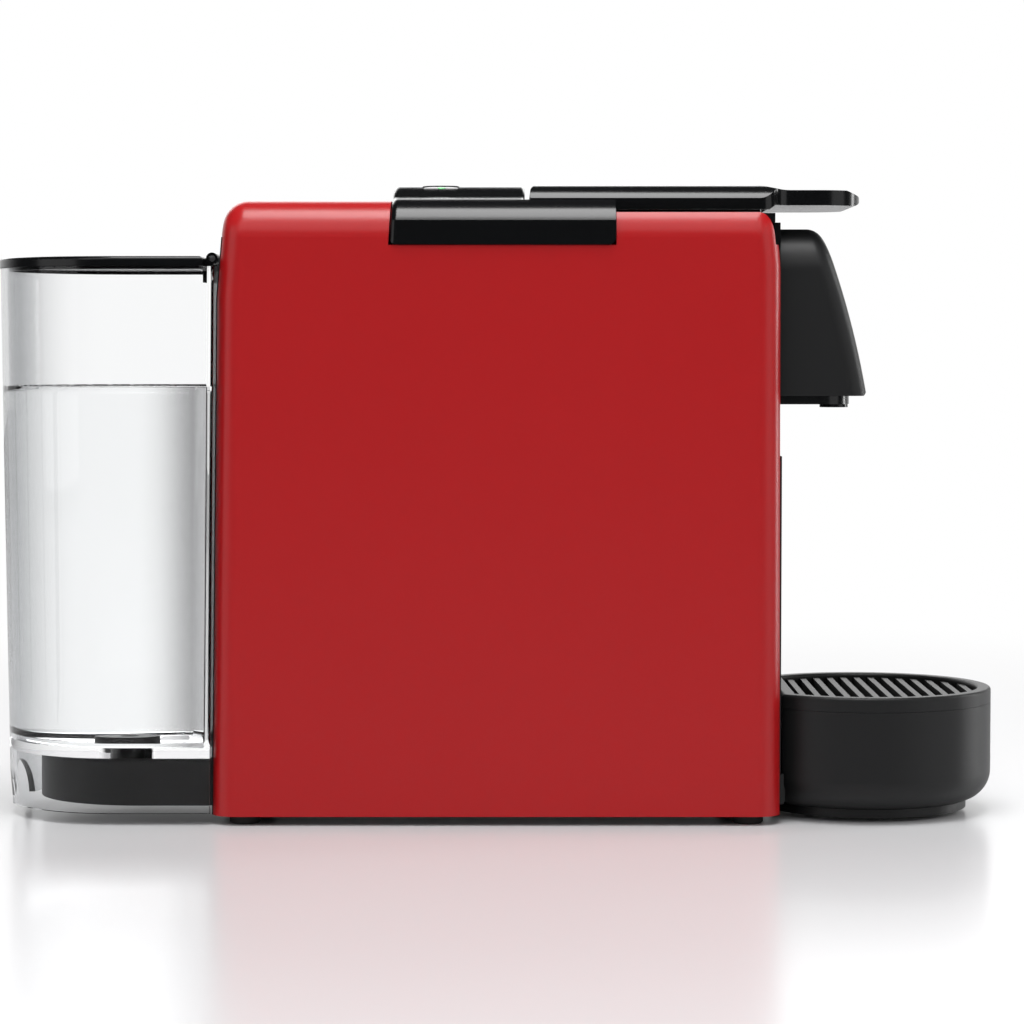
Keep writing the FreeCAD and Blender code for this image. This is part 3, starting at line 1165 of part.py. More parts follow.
# ------------------------------------------------------------ pump, heater, boards
def pump():
    """Vibratory pump on rubber rings: tube, plunger with spring, coil and iron yoke."""
    where = {"axis": "X", "z": "pump_z"}
    barrel = turned([
        ("hose_bore", "pump_rear - 8"), ("hose_radius", "pump_rear - 8"),
        ("hose_radius", "pump_rear"), ("pump_radius", "pump_rear"),
        ("pump_radius", "pump_front - 4"), ("hose_radius", "pump_front - 4"),
        ("hose_radius", "pump_front"), ("hose_bore", "pump_front"),
        ("hose_bore", "pump_front - 8"), ("plunger_radius + 0.1", "pump_front - 8"),
        ("plunger_radius + 0.1", "pump_rear + 3"), ("hose_bore", "pump_rear + 3"),
    ], z="pump_z", axis="X")
    keep(barrel, "pump_body")
    keep(tube("plunger_radius", "1.5", "coil_rear + 6", "coil_front - 2", **where), "pump_plunger")
    keep(coil("3.6", "0.4", "coil_front - 2 + plunger_play", "pump_front - 8", 4, "0", "X",
              "pump_z"), "plunger_spring")
    keep(tube("coil_radius", "pump_radius + fit", "coil_rear", "coil_front", **where), "pump_coil")
    rear, front = "coil_rear - yoke_thick - fit", "coil_front + yoke_thick + fit"
    square = "coil_radius + yoke_thick + fit"
    frame = box((rear, front), ("-12", "12"), (f"pump_z - ({square})", f"pump_z + {square}"))
    window = box((f"{rear} + yoke_thick", f"{front} - yoke_thick"), ("-13", "13"),
                 (f"pump_z - ({square}) + yoke_thick", f"pump_z + {square} - yoke_thick"))
    keep(cut(frame, window, rod("pump_radius + fit", f"{rear} - 1", f"{front} + 1", **where)),
         "pump_yoke")
    rings = [tube("pump_radius + 4", "pump_radius + 0.05", f"{start}", f"{start} + 5", **where)
             for start in ("pump_rear + 3", "pump_front - 11")]
    keep(group(*rings), "pump_mounts")
    uprights = []
    for start in ("pump_rear + 3", "pump_front - 11"):
        uprights.append(cut(box((f"{start} + 1", f"{start} + 4"), ("-15", "15"),
                                ("base_top", "pump_z + 3")),
                            rod("pump_radius + 4.05", start, f"{start} + 5", **where)))
    keep(join(box(("pump_rear + 4", "pump_front - 7"), ("-5", "5"), ("base_top", "base_top + 1.5")),
              *uprights), "pump_cradle")


def flow_meter():
    """Metering chamber with a paddle rotor on its own pin."""
    low, high = "meter_low", "meter_low + meter_high"
    shell = cut(rod("meter_radius", low, high, x="meter_x", y="meter_y"),
                rod("meter_radius - 1.8", f"{low} + 1.8", f"{high} - 1.8", x="meter_x", y="meter_y"))
    pin = rod("0.8", f"{low} + 1", f"{high} - 1", x="meter_x", y="meter_y")
    inlet = rod("hose_bore", f"{low} - 1", f"{low} + 2", x="meter_x", y="meter_y - meter_radius + 4.2")
    outlet = rod("hose_bore", "meter_y - meter_radius - 1", "meter_y - meter_radius + 3", axis="Y",
                 x="meter_x", z="meter_low + meter_high / 2")
    keep(join(cut(shell, inlet, outlet), pin), "flow_meter")
    hub = rod("2.4", f"{low} + 2.3", f"{high} - 2.3", x="meter_x", y="meter_y")
    vanes = []
    for step in range(4):
        vane = doc.addObject("Part::Box", "vane")
        vane.Placement = FreeCAD.Placement(V(), FreeCAD.Rotation(V(0, 0, 1), 90 * step))
        bind(vane, Length="meter_radius - 1.8 - 0.8", Width="0.8",
             Height="meter_high - 4.6")
        vanes.append(place(vane, "meter_x", "meter_y", f"{low} + 2.3"))
    keep(cut(join(hub, *vanes), rod("0.8 + running_gap", low, high, x="meter_x", y="meter_y")),
         "flow_rotor")


def thermoblock():
    """Cast heater on the bulkhead, with cast-in water ports."""
    block = sketched("XZ_Plane", [
        ("heater_rear", "heater_low"), ("heater_front", "heater_low"),
        ("heater_front", "heater_low + heater_high"), ("heater_rear", "heater_low + heater_high"),
    ], "-heater_half", "heater_half")
    softened(block, "5", lambda e: runs_along(e, "Y", 20))
    fins = [box((f"heater_rear + 8 + {step} * 9", f"heater_rear + 11 + {step} * 9"),
                ("-heater_half - 3", "heater_half + 3"),
                ("heater_low + 6", "heater_low + heater_high - 6"))
            for step in range(5)]
    lugs = [box(("heater_front - 1", "bulkhead_x"), (f"{side} * 18 - 4", f"{side} * 18 + 4"),
                ("heater_low + 8", "heater_low + heater_high - 8")) for side in (1, -1)]
    ports = [rod("hose_bore", "heater_low - 1", "heater_low + 8", x="heater_in_x"),
             rod("hose_bore", "heater_low + heater_high - 8", "heater_low + heater_high + 1",
                 x="heater_out_x")]
    keep(cut(join(block, *fins, *lugs), *ports), "thermoblock")


def hoses():
    """Silicone hoses along the water's way from the dock to the cage."""
    keep(hose([("-valve_x + cup_radius", "0", "supply_z"), ("-half_length + 9", "0", "supply_z"),
               ("meter_x", "meter_y - meter_radius + 4.2", "supply_z"),
               ("meter_x", "meter_y - meter_radius + 4.2", "meter_low")], "6"), "supply_hose")
    keep(hose([("meter_x", "meter_y - meter_radius", "meter_low + meter_high / 2"),
               ("meter_x", "0", "meter_low + meter_high / 2"),
               ("pump_rear - 9", "0", "meter_low + meter_high / 2 - 4"),
               ("pump_rear - 9", "0", "pump_z + 4")], "5"), "suction_hose")
    keep(hose([("pump_front", "0", "pump_z"), ("bulkhead_x - 6", "0", "pump_z"),
               ("bulkhead_x - 6", "0", "pump_z + 24"), ("heater_in_x", "0", "pump_z + 24"),
               ("heater_in_x", "0", "heater_low")], "6"), "pressure_hose")
    keep(hose([("heater_out_x", "0", "heater_low + heater_high"), ("heater_out_x", "0", "brew_axis"),
               ("cage_rear - 9", "0", "brew_axis")], "8"), "brew_hose")


def control_board():
    """Main board on the rear panel's posts, with its larger parts."""
    rear = "-half_length + wall + post_long"
    board = box((rear, f"{rear} + board_thick"), ("-panel_board_half", "panel_board_half"),
                ("panel_board_z", "panel_board_z + panel_board_high"))
    face = f"{rear} + board_thick"
    parts = [
        box((face, f"{face} + 16"), ("-24", "-6"), ("panel_board_z + 10", "panel_board_z + 32")),
        box((face, f"{face} + 12"), ("4", "20"), ("panel_board_z + 12", "panel_board_z + 28")),
        rod("5", face, f"{face} + 14", axis="X", y="12", z="panel_board_z + 44"),
        box((face, f"{face} + 6"), ("-18", "-6"), ("panel_board_z + 50", "panel_board_z + 62")),
        box((face, f"{face} + 8"), ("8", "26"), ("panel_board_z + 66", "panel_board_z + 72")),
    ]
    keep(join(board, *parts), "control_board")


# ------------------------------------------------------------------------- build
def check():
    """Stop on any failed object or bad shape, before anything is written."""
    doc.recompute()
    for item in doc.Objects:
        if {"Invalid", "Error"} & set(item.State):
            raise RuntimeError(f"{item.Label} ({item.Name}) failed: {item.State}")
    for item in NODES:
        if item.Shape.isNull() or not item.Shape.isValid():
            raise RuntimeError(f"{item.Label} has no valid shape")


def write():
    os.makedirs("parts", exist_ok=True)
    for item in NODES:
        item.Shape.exportStep(os.path.join("parts", item.Label + ".step"))
        solids = item.Shape.Solids
        print(f"{item.Label}: {len(solids)} solid(s), {item.Shape.Volume:.0f} mm3")


for make in (side_shells, rear_panel, base_plate, feet, cord_gland, saddle_cover, buttons,
             button_board, lever, links, capsule_cage, frame_plates, frame_ties, brew_head,
             brew_shelf, front_frame, top_deck, spout_casing, spout_parts, drip_tray, capsule_bin,
             drip_grid, water_tank, tank_lid, tank_valve, tank_dock, pump, flow_meter,
             thermoblock, hoses, control_board):
    make()
check()
write()
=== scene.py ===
# %% [markdown]
# # A slim capsule espresso machine
# The machine is a flat red box about 8 cm wide. A clear water tank hangs behind it, a flat
# black lever covers its top, and a short black spout leans out over a round drip tray. Its
# solid parts come from CAD as a fixed frame. This lesson gives them finishes and adds what
# CAD doesn't draw well: the water in the tank and the lit marks on the buttons.

# %% Load the frame
import json
import math

import bmesh
import bpy
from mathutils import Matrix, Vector
from mathutils.bvhtree import BVHTree


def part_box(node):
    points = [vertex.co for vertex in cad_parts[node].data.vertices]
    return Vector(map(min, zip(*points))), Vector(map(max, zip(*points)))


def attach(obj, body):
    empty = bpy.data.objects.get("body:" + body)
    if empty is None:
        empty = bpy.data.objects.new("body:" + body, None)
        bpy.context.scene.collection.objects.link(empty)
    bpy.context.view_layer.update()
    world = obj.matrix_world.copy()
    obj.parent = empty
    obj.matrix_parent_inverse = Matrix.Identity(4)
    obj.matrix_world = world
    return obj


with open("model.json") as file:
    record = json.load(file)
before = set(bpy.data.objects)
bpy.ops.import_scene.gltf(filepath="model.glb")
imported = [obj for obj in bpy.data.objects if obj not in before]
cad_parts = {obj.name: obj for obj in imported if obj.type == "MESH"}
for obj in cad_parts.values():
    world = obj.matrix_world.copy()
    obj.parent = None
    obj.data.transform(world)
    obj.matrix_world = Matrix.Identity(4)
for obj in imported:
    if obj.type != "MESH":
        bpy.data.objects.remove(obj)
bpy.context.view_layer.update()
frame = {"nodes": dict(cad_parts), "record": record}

NODES = frame["nodes"]
MM = 0.001


# %% [markdown]
# ## Shader maths as plain Python
# A moulding's gloss changes a little from place to place. In the node editor that is a
# tangle of Math nodes. A small class that wraps one socket and overloads the operators lets
# a finish be written the way it is said: base roughness plus a little noise.

# %% A socket that can be added and multiplied
class Val:
    """One output socket of a node tree."""

    def __init__(self, finish, socket):
        self.finish, self.socket = finish, socket

    def math(self, operation, other=None, flip=False):
        pair = [self] if other is None else ([other, self] if flip else [self, other])
        return self.finish.node("ShaderNodeMath", {"operation": operation}, dict(enumerate(pair)))

    def __add__(self, other): return self.math("ADD", other)
    def __radd__(self, other): return self.math("ADD", other, flip=True)
    def __rsub__(self, other): return self.math("SUBTRACT", other, flip=True)
    def __mul__(self, other): return self.math("MULTIPLY", other)
    def __rmul__(self, other): return self.math("MULTIPLY", other, flip=True)


# %% [markdown]
# ## One way to add nodes
# A material and the studio's world are both node trees, so they share one class. Its `node`
# method takes a node's type, its settings, which are made first because some of them change
# the sockets, and then what goes into each socket, a number or a link. The smooth step and
# the questions about rays are used by several trees, so they are short methods too.

# %% Add nodes to a material or to the world
class Surround:
    """A node tree with its main shader; a finish and the studio both start from it."""

    def __init__(self, owner, shader):
        owner.use_nodes = True
        self.tree = owner.node_tree
        self.shader = self.tree.nodes[shader]

    def ease(self, value, low, high):
        """A smooth step from 0 to 1 as a value goes from low to high."""
        return self.node("ShaderNodeMapRange", {"interpolation_type": "SMOOTHSTEP"},
                         {"Value": value, "From Min": low, "From Max": high})

    def ray(self, output):
        """What kind of ray meets this surface, from the Light Path node."""
        return self.node("ShaderNodeLightPath", output=output)

    def straight_through(self):
        """1 for a ray that has only passed through clear things since it left the lens."""
        bounced = self.ray("Glossy Depth") + self.ray("Diffuse Depth")
        return self.ray("Is Transmission Ray") * bounced.math("LESS_THAN", 0.5)

    def node(self, kind, settings=None, inputs=None, output=0):
        """Add a node, set it up first, then fill or link its sockets."""
        made = self.tree.nodes.new(kind)
        for key, value in (settings or {}).items():
            setattr(made, key, value)
        for key, value in (inputs or {}).items():
            if isinstance(value, Val):
                self.tree.links.new(value.socket, made.inputs[key])
            else:
                made.inputs[key].default_value = value
        return Val(self, made.outputs[output])


# %% [markdown]
# ## What a finish is
# A finish is one material. Numbers that are the same all over it, such as its index or how
# clear it is, sit on the shader's own sockets. What changes over it, such as colour, gloss
# and fine relief, is linked. All noise is in the piece's own coordinates and is given by the
# size of its lumps in millimetres, so that a finish looks the same on a small and a large
# piece.

# %% A finish with its noise, tint and relief
class Finish(Surround):
    """A painted, moulded or drawn surface, in the piece's own coordinates."""

    def __init__(self, name, color, **numbers):
        self.material = bpy.data.materials.new(name)
        super().__init__(self.material, "Principled BSDF")
        self.shader.inputs["Base Color"].default_value = (*color, 1)
        for socket, number in numbers.items():
            self.shader.inputs[socket.replace("_", " ")].default_value = number

    def feed(self, **values):
        """Link what changes over the surface to the shader's own sockets."""
        for socket, value in values.items():
            self.tree.links.new(value.socket, self.shader.inputs[socket.replace("_", " ")])
        return self

    def place(self, stretch=(1, 1, 1)):
        """The piece's own coordinates in metres, stretched along an axis if asked."""
        spot = self.node("ShaderNodeTexCoord", output="Object")
        return self.node("ShaderNodeVectorMath", {"operation": "MULTIPLY"},
                         {0: spot, 1: stretch})

    def noise(self, size_mm, detail=2.0, stretch=(1, 1, 1)):
        """Soft cloudy noise from 0 to 1, whose lumps are about this many millimetres."""
        return self.node("ShaderNodeTexNoise", {},
                         {"Vector": self.place(stretch), "Scale": 1 / (size_mm * MM),
                          "Detail": detail})

    def tint(self, factor, first, second):
        """A colour between two, by a factor."""
        return self.node("ShaderNodeMix", {"data_type": "RGBA"},
                         {0: factor, 6: (*first, 1), 7: (*second, 1)}, output=2)

    def bump(self, height, depth_mm, strength):
        """Relief of a real depth, given to the shader's normal."""
        return self.node("ShaderNodeBump", {},
                         {"Height": height, "Distance": depth_mm * MM, "Strength": strength})


# %% [markdown]
# ## The red moulding
# The two side shells are polished plastic, so their colour is flat and their gloss is high.
# A real moulded face is never a perfect mirror: it carries a shallow ripple a few
# millimetres long, and a finer one like orange peel, which softens the edges of reflected
# lamps. Both are made as bump, because they are far too shallow to model.

# %% Red, polished
red = Finish("red_moulding", (0.356, 0.0060, 0.0078), Specular_IOR_Level=0.35)
ripple = red.noise(9.0, 1.0) * 0.7 + red.noise(1.1, 1.0) * 0.3
red.feed(
    Base_Color=red.tint(red.noise(40.0), (0.350, 0.0057, 0.0074), (0.362, 0.0063, 0.0082)),
    Roughness=0.28 + red.noise(2.5, 3.0) * 0.05,
    Normal=red.bump(ripple, 0.012, 0.35),
)
print("finish:", red.material.name)


# %% [markdown]
# ## Black plastics
# Two blacks are used. The lever, saddle and lid are polished, so they show lamps as sharp
# grey bands. The spout, tray and dock are spark-eroded: the mould leaves a sandy grain of
# about a quarter of a millimetre, which spreads the same lamps into a soft sheen.

# %% Polished black and satin black
polished = Finish("polished_black", (0.0020, 0.0023, 0.0027), Specular_IOR_Level=0.35)
polished.feed(
    Base_Color=polished.tint(polished.noise(25.0), (0.0018, 0.0021, 0.0025),
                             (0.0024, 0.0027, 0.0031)),
    Roughness=0.17 + polished.noise(1.6, 4.0) * 0.05,
    Normal=polished.bump(polished.noise(6.0, 1.0), 0.010, 0.35),
)
satin = Finish("satin_black", (0.0062, 0.0065, 0.0068), Specular_IOR_Level=0.30)
grain = satin.noise(0.28, 3.0)
satin.feed(
    Base_Color=satin.tint(satin.noise(0.5), (0.0052, 0.0054, 0.0057), (0.0072, 0.0075, 0.0079)),
    Roughness=0.38 + grain * 0.14,
    Normal=satin.bump(grain, 0.020, 0.45),
)
print("finishes:", polished.material.name, satin.material.name)


# %% [markdown]
# ## Clear plastic and water
# The tank is one clear moulding. Light should bend at its two skins, so it is a
# transmissive shader with the index of clear plastic on a wall of real thickness. Its colour
# greys where the wall is seen at a slant: a little of that grey is its longer way through,
# the rest is painted shade for the dark studio seen in the curved wall. Layer Weight tells
# how slanted the wall is, and tints it there. The water is a body of its own, whose colour
# greys next to the machine's dark back as painted shade.

# %% Clear moulding and water
clear = Finish("clear_moulding", (0.985, 0.988, 0.99), Transmission_Weight=1.0, IOR=1.49,
               Specular_Tint=(0.25, 0.25, 0.25, 1))
slant_shade = clear.node("ShaderNodeLayerWeight", {}, {"Blend": 0.5}, "Facing")
# Painted shade: the wall's colour greys where Layer Weight finds it seen at a slant.
clear.feed(
    Base_Color=clear.tint(clear.ease(slant_shade + clear.noise(40.0) * 0.03, 0.02, 0.62),
                          (0.985, 0.988, 0.99), (0.50, 0.51, 0.52)),
    Roughness=clear.noise(30.0) * 0.02 + 0.005,
    Normal=clear.bump(clear.noise(18.0, 1.0), 0.010, 0.3),
)
water = Finish("water", (0.985, 0.992, 0.995), Transmission_Weight=1.0, IOR=1.333)
along = water.node("ShaderNodeSeparateXYZ", {}, {0: water.place()}, "X")
# Painted shade: the colour darkens towards the machine's back, for the dark body seen through the
# water.
water.feed(
    Base_Color=water.tint(water.ease(along, -0.116, -0.095), (0.985, 0.992, 0.995),
                          (0.26, 0.26, 0.265)),
    Roughness=water.noise(60.0) * 0.004,
    Normal=water.bump(water.noise(30.0, 1.0), 0.010, 0.15),
)
print("finishes:", clear.material.name, water.material.name)


# %% [markdown]
# ## Metals
# Stamped steel has fine lines along the way it was rolled, so its noise is stretched along
# one axis until it becomes streaks. Cast aluminium has sand grains instead, and brass tube
# is drawn, with rings along its length.

# %% Steel, brass and aluminium
steel = Finish("stamped_steel", (0.50, 0.505, 0.515), Metallic=1.0)
streaks = steel.noise(0.35, 3.0, (0.04, 1, 1))
steel.feed(
    Base_Color=steel.tint(steel.noise(14.0, 3.0), (0.45, 0.455, 0.465), (0.56, 0.56, 0.57)),
    Roughness=0.24 + streaks * 0.18,
    Normal=steel.bump(streaks, 0.004, 0.5),
)
brass = Finish("drawn_brass", (0.62, 0.50, 0.28), Metallic=1.0)
rings = brass.noise(0.5, 2.0, (1, 0.05, 0.05))
brass.feed(
    Base_Color=brass.tint(brass.noise(6.0, 4.0), (0.50, 0.37, 0.17), (0.72, 0.58, 0.33)),
    Roughness=0.22 + rings * 0.2,
    Normal=brass.bump(rings, 0.006, 0.5),
)
cast = Finish("cast_aluminium", (0.55, 0.56, 0.57), Metallic=1.0)
sand = cast.noise(0.6, 4.0)
cast.feed(
    Base_Color=cast.tint(cast.noise(9.0, 4.0), (0.42, 0.43, 0.44), (0.62, 0.63, 0.64)),
    Roughness=0.42 + sand * 0.25,
    Normal=cast.bump(sand, 0.08, 0.6),
)
print("finishes:", steel.material.name, brass.material.name, cast.material.name)


# %% [markdown]
# ## The pale and soft materials
# Nothing inside the machine is painted. The valve's poppet, the flow meter and the capsule
# cage are natural plastic, hoses are milky silicone, and seals are brick-red silicone.

# %% Natural plastic, rubber and silicone
natural = Finish("natural_plastic", (0.60, 0.59, 0.56), Subsurface_Weight=0.12)
natural.feed(
    Base_Color=natural.tint(natural.noise(12.0), (0.56, 0.55, 0.52), (0.64, 0.63, 0.60)),
    Roughness=0.36 + natural.noise(0.8, 3.0) * 0.14,
    Normal=natural.bump(natural.noise(0.5, 3.0), 0.01, 0.4),
)
rubber = Finish("soft_rubber", (0.016, 0.016, 0.016), Specular_IOR_Level=0.3)
rubber.feed(
    Base_Color=rubber.tint(rubber.noise(3.0, 4.0), (0.012, 0.012, 0.012), (0.024, 0.023, 0.022)),
    Roughness=0.68 + rubber.noise(0.7, 3.0) * 0.2,
    Normal=rubber.bump(rubber.noise(0.5, 4.0), 0.03, 0.5),
)
silicone = Finish("milky_silicone", (0.66, 0.64, 0.60), Subsurface_Weight=0.25)
silicone.feed(
    Base_Color=silicone.tint(silicone.noise(10.0), (0.60, 0.58, 0.54), (0.72, 0.70, 0.66)),
    Roughness=0.40 + silicone.noise(0.9, 2.0) * 0.12,
    Normal=silicone.bump(silicone.noise(2.0, 2.0), 0.02, 0.3),
)
seal = Finish("red_silicone", (0.30, 0.055, 0.030), Specular_IOR_Level=0.35)
seal.feed(
    Base_Color=seal.tint(seal.noise(4.0, 3.0), (0.26, 0.045, 0.024), (0.34, 0.065, 0.036)),
    Roughness=0.55 + seal.noise(0.6, 3.0) * 0.15,
    Normal=seal.bump(seal.noise(0.5, 3.0), 0.01, 0.4),
)
print("finishes:", natural.material.name, rubber.material.name, silicone.material.name)


# %% [markdown]
# ## Winding and circuit boards
# The pump's coil is wound with lacquered copper wire, so a wave texture draws its turns and
# gives them relief, and darkens the colour in the grooves between turns as painted shade.
# The boards are green with faint copper tracks under their lacquer, which a brick texture
# draws with its mortar lines.

# %% Winding and circuit board
winding = Finish("copper_winding", (0.42, 0.13, 0.05), Specular_IOR_Level=0.5)
turns = winding.node("ShaderNodeTexWave", {"bands_direction": "X"},
                     {"Vector": winding.place(), "Scale": 330.0, "Distortion": 0.4})
# Painted shade: the colour darkens in the grooves between the turns.
winding.feed(
    Base_Color=winding.tint(turns, (0.16, 0.035, 0.012), (0.55, 0.19, 0.07)),
    Roughness=0.26 + winding.noise(1.5, 3.0) * 0.18,
    Normal=winding.bump(turns, 0.15, 0.7),
)
board = Finish("solder_mask", (0.012, 0.075, 0.032), Specular_IOR_Level=0.5)
tracks = board.node("ShaderNodeTexBrick", {"offset": 0.37, "squash": 1.7},
                    {"Vector": board.place((0, 90, 90)),
                     "Color1": (0, 0, 0, 1), "Color2": (0, 0, 0, 1), "Mortar": (1, 1, 1, 1),
                     "Scale": 3.0, "Mortar Size": 0.022}, output="Fac")
board.feed(
    Base_Color=board.tint(tracks, (0.010, 0.070, 0.028), (0.05, 0.16, 0.055)),
    Roughness=0.30 + board.noise(1.0, 2.0) * 0.1,
    Normal=board.bump(tracks, 0.03, 0.6),
)
print("finishes:", winding.material.name, board.material.name)


# %% [markdown]
# ## Give every CAD part its finish
# The record names a material slot for each part. A dictionary from slot to finish then
# dresses all of them in one loop, and no part can be left in its plain preview colour.

# %% Dress the CAD parts
FINISH_OF = {
    "red_gloss": red, "black_gloss": polished, "button": polished, "black_satin": satin,
    "clear_tank": clear, "pale_plastic": natural, "steel": steel, "brass_nickel": brass,
    "cast_aluminium": cast, "coil_wrap": winding, "rubber": rubber, "silicone": silicone,
    "seal": seal, "board": board,
}
for part in frame["record"]["subparts"]:
    shown = NODES[part["node"]]
    for place in shown.material_slots:
        place.material = FINISH_OF[part["material_slot"]].material


# %% [markdown]
# ## A new piece in one call
# Every piece that Blender adds is a mesh from points and faces. It must move with a body of
# the machine and wear its finish, so one helper does all of that.

# %% Make, finish and mount a piece
def piece(name, points, faces, body, finish):
    """A smooth mesh with its faces turned outwards, riding on a body of the machine."""
    mesh = bpy.data.meshes.new(name)
    mesh.from_pydata([tuple(p) for p in points], [], faces)
    mesh.validate()
    made = bpy.data.objects.new(name, mesh)
    bpy.context.collection.objects.link(made)
    mesh.polygons.foreach_set("use_smooth", [True] * len(mesh.polygons))
    mesh.materials.append(finish.material)
    tidy = bmesh.new()
    tidy.from_mesh(mesh)
    bmesh.ops.recalc_face_normals(tidy, faces=tidy.faces)
    tidy.to_mesh(mesh)
    tidy.free()
    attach(made, body)


# %% [markdown]
# ## Water
# The tank is two thirds full. The water has to fill the tank's inside exactly, draft and
# rounded back included, so its outline is felt out: rays from the middle of the tank find
# the inner wall at several heights, and the rings they give are joined into one closed
# body. It enters the wall by a hair, so that no film of air is left between the two. At the
# top the surface climbs the wall by under a millimetre, as real water does.

# %% Feel out the tank
WATER_LEVEL = 140.5 * MM
RING = 96
INTO_WALL = 0.04 * MM
CLIMB = 1.1 * MM
tank_low, tank_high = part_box("water_tank")
tank_skin = BVHTree.FromObject(NODES["water_tank"], bpy.context.evaluated_depsgraph_get())
middle = Vector(((tank_low.x + tank_high.x) / 2, 0, 0.1))
beside_valve = Vector((20 * MM, 20 * MM, 0))
FLOOR = tank_skin.ray_cast(middle + beside_valve, Vector((0, 0, -1)))[0].z


def inner_ring(height, inset=0.0, rise=0.0):
    """Points on the inner wall at a height, moved in by an inset and up by a rise."""
    ring = []
    for step in range(RING):
        turn = 2 * math.pi * step / RING
        way = Vector((math.cos(turn), math.sin(turn), 0))
        start = Vector((middle.x, 0, height))
        spot = tank_skin.ray_cast(start, way)[0]
        ring.append(spot - way * (inset - INTO_WALL) + Vector((0, 0, rise)))
    return ring


print("water from", round(FLOOR / MM, 2), "to", WATER_LEVEL / MM, "mm")


# %% Fill it
STEPS = 6
EDGE = 2 * MM
tall = WATER_LEVEL - FLOOR - 2 * EDGE
rings = [inner_ring(FLOOR + 0.4 * MM, 0.3 * MM)]
rings += [inner_ring(FLOOR + EDGE + tall * step / STEPS) for step in range(STEPS + 1)]
rings += [inner_ring(WATER_LEVEL - 0.4 * MM, rise=CLIMB),
          inner_ring(WATER_LEVEL, 0.6 * MM, 0.3 * MM), inner_ring(WATER_LEVEL, 2 * MM)]
points = [spot for ring in rings for spot in ring]
faces = []
for level in range(len(rings) - 1):
    for step in range(RING):
        here, after = level * RING + step, level * RING + (step + 1) % RING
        faces.append((here, after, after + RING, here + RING))
faces.append(tuple(reversed(range(RING))))
faces.append(tuple(range((len(rings) - 1) * RING, len(rings) * RING)))
piece("water_fill", points, faces, "tank", water)
print("water faces:", len(faces))


# %% [markdown]
# ## Marks on the buttons
# Each button carries a cup mark that light shines through: a small cup for espresso, a
# large one for a long coffee. A mark is a thin raised shape that follows the button's
# curved top, so each of its points is dropped straight down onto the button.

# %% Lit finish for the marks
lit = Finish("lit_mark", (0.10, 0.34, 0.12), Roughness=0.35, Emission_Strength=0.9)
lit.feed(
    Emission_Color=lit.tint(lit.noise(1.5), (0.05, 0.34, 0.09), (0.12, 0.52, 0.17)),
    Base_Color=lit.tint(lit.noise(1.5), (0.05, 0.26, 0.08), (0.12, 0.36, 0.14)),
)


# %% Draw the cups
MARK_RISE = 0.08 * MM
BEND = 12


def strip(outline, name, node):
    """A closed flat outline, dropped onto a button's top and given a little thickness."""
    skin = BVHTree.FromObject(NODES[node], bpy.context.evaluated_depsgraph_get())
    upper, lower = [], []
    for x, y in outline:
        hit = skin.ray_cast(Vector((x, y, 1)), Vector((0, 0, -1)))[0]
        upper.append(hit + Vector((0, 0, MARK_RISE)))
        lower.append(hit - Vector((0, 0, MARK_RISE)))
    count = len(outline)
    sides = [(i, (i + 1) % count, (i + 1) % count + count, i + count) for i in range(count)]
    ends = [tuple(range(count)), tuple(range(2 * count - 1, count - 1, -1))]
    piece(name, upper + lower, sides + ends, node, lit)


def cup_outline(middle_x, middle_y, wide, high):
    """A cup seen from the front: straight rim, sides that close, round foot."""
    shape = [(-0.5, 0.5), (0.5, 0.5), (0.46, 0.05), (0.34, -0.28), (0.16, -0.42),
             (-0.16, -0.42), (-0.34, -0.28), (-0.46, 0.05)]
    return [(middle_x + across * wide, middle_y + up * high) for across, up in shape]


def handle_arc(middle_x, middle_y, cup, radius):
    """Half a ring beside the cup, by a share of the cup's size."""
    turns = [math.pi * (step / BEND - 0.5) for step in range(BEND + 1)]
    return [(middle_x + cup * (0.46 + radius * math.cos(turn)),
             middle_y + cup * (0.12 + radius * math.sin(turn))) for turn in turns]


for node, cup in (("espresso_button", 2.2 * MM), ("lungo_button", 3.1 * MM)):
    low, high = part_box(node)
    spot_x, spot_y = (low.x + high.x) / 2, (low.y + high.y) / 2
    strip(cup_outline(spot_x, spot_y, cup, cup * 0.95), node + "_cup_mark", node)
    handle = handle_arc(spot_x, spot_y, cup, 0.26) + handle_arc(spot_x, spot_y, cup, 0.16)[::-1]
    strip(handle, node + "_handle_mark", node)
    print(node, "mark in mm:", round(cup / MM, 1))


# %% [markdown]
# ## The floor
# The machine stands on a pale floor in a bright studio. The floor keeps a soft shadow and a
# faint reflection near the machine and fades to plain white further out. The fade goes by
# distance from the machine and not from the lens, so it stays put from every side. Clear
# pieces show the white too, through rays that have only passed through clear things.

# %% Floor
FLOOR_HALF = 4.0
FADE_FROM, FADE_TO = 0.22, 0.75
corners = [(-1, -1), (1, -1), (1, 1), (-1, 1)]
floor_mesh = bpy.data.meshes.new("studio_floor")
floor_mesh.from_pydata([(x * FLOOR_HALF, y * FLOOR_HALF, 0) for x, y in corners], [],
                       [(0, 1, 2, 3)])
studio_floor = bpy.data.objects.new("studio_floor", floor_mesh)
bpy.context.collection.objects.link(studio_floor)

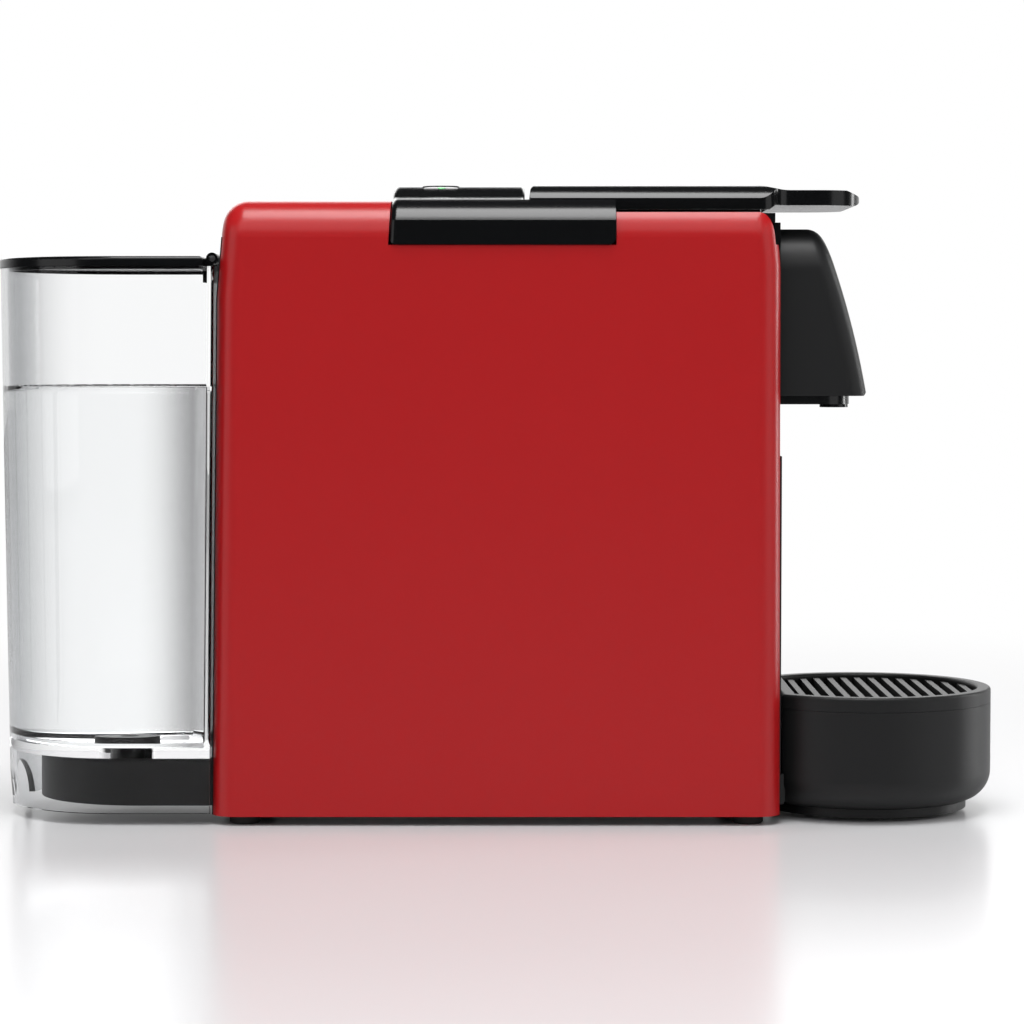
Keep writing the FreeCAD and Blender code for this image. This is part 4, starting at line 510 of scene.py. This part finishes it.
ground = Finish("pale_floor", (0.62, 0.62, 0.63), Roughness=0.22, Specular_IOR_Level=0.4)
away = ground.node("ShaderNodeVectorMath", {"operation": "LENGTH"}, {0: ground.place()},
                   output="Value")
far = ground.ease(away, FADE_FROM, FADE_TO) * ground.ray("Is Camera Ray")
beyond_tank = ground.straight_through() * ground.ease(away, 0.14, 0.26)
white = ground.node("ShaderNodeEmission", {}, {"Color": (1, 1, 1, 1), "Strength": 1.0},
                    "Emission")
blend = ground.node("ShaderNodeMixShader", {},
                    {0: far.math("MAXIMUM", beyond_tank), 2: white}, "Shader")
ground.tree.links.new(ground.shader.outputs[0], blend.socket.node.inputs[1])
ground.tree.links.new(blend.socket, ground.tree.nodes["Material Output"].inputs["Surface"])
floor_mesh.materials.append(ground.material)
print("floor in m:", 2 * FLOOR_HALF)


# %% [markdown]
# ## The studio around it
# The lens sees plain white behind the machine, and so do clear pieces. Gloss must not see
# white all around, or the black plastics would turn grey, so mirrored rays meet a dark
# studio with a pale backdrop low behind the machine. Soft light from all around is dim,
# because the lamps do the work.

# %% World
AMBIENT = 0.34
DARK = 0.05
world = bpy.data.worlds.new("studio")
bpy.context.scene.world = world
studio = Surround(world, "Background")
studio.shader.inputs["Color"].default_value = (1, 1, 1, 1)
apart = studio.node("ShaderNodeSeparateXYZ", {},
                    {0: studio.node("ShaderNodeTexCoord", output="Generated")})
behind, up = (Val(studio, apart.socket.node.outputs[axis]) for axis in "YZ")
backdrop = studio.ease(behind, 0.25, 0.80) * (1 - studio.ease(up, 0.22, 0.42))
seen, mirrored = studio.ray("Is Camera Ray"), studio.ray("Is Glossy Ray")
clearly, through = studio.straight_through(), studio.ray("Is Transmission Ray")
gloss = mirrored * (1 - clearly) * (DARK + (1 - DARK) * backdrop)
soft = AMBIENT * (1 - seen) * (1 - mirrored) * (1 - through)
strength = seen + clearly + gloss + soft
studio.tree.links.new(strength.socket, studio.shader.inputs["Strength"])
print("world nodes:", len(studio.tree.nodes))


# %% [markdown]
# ## Lamps
# Six soft lamps light the machine. The one overhead draws the long grey bands on the black
# tops. A wide one in front and one on each side in front light the flat red faces at a
# slant, a tall narrow one gives the right edge its thin bright line, and one behind lifts
# the rear. A lamp is given by how bright its face looks, so its size can change alone.

# %% Lamps
MACHINE = (0, 0, 0.1)


def lamp(name, spot, wide, tall, radiance, aim=MACHINE):
    """A rectangular soft lamp that faces a point, by how bright its face looks."""
    data = bpy.data.lights.new(name, "AREA")
    data.shape = "RECTANGLE"
    data.size, data.size_y = wide, tall
    data.energy = radiance * math.pi * data.size * data.size_y
    made = bpy.data.objects.new(name, data)
    bpy.context.collection.objects.link(made)
    made.location = spot
    made.rotation_euler = (Vector(aim) - Vector(spot)).to_track_quat("-Z", "Y").to_euler()
    made.visible_camera = False


lamp("overhead_lamp", (0.02, -0.28, 1.30), 0.64, 0.68, 11.0, aim=(0.02, -0.28, 0))
lamp("front_lamp", (0.0, -0.97, 0.99), 1.6, 0.8, 1.7)
lamp("right_strip", (1.20, 0.38, 0.35), 0.22, 0.9, 9.0)
lamp("left_lamp", (-1.25, -0.70, 0.50), 1.0, 1.0, 1.0)
lamp("right_lamp", (1.25, -0.80, 0.50), 1.0, 1.0, 1.0)
lamp("rear_lamp", (0.0, 1.45, 0.80), 1.6, 0.7, 2.4)


# %% [markdown]
# ## Camera
# The view is nearly square to the machine's right side, from about three machine lengths
# away and a little above its middle, tilted down by three degrees.

# %% Camera
LENS_MM, SENSOR_MM = 111.0, 36.0
TILT_DOWN = 2.94
camera_data = bpy.data.cameras.new("camera")
camera_data.sensor_width = SENSOR_MM
camera_data.lens = LENS_MM
camera = bpy.data.objects.new("camera", camera_data)
bpy.context.collection.objects.link(camera)
camera.location = (0.0051, -1.050, 0.153)
camera.rotation_euler = (math.radians(90 - TILT_DOWN), 0, 0)
bpy.context.scene.camera = camera
bpy.context.scene.view_settings.view_transform = "Standard"
print("lens in mm:", LENS_MM)
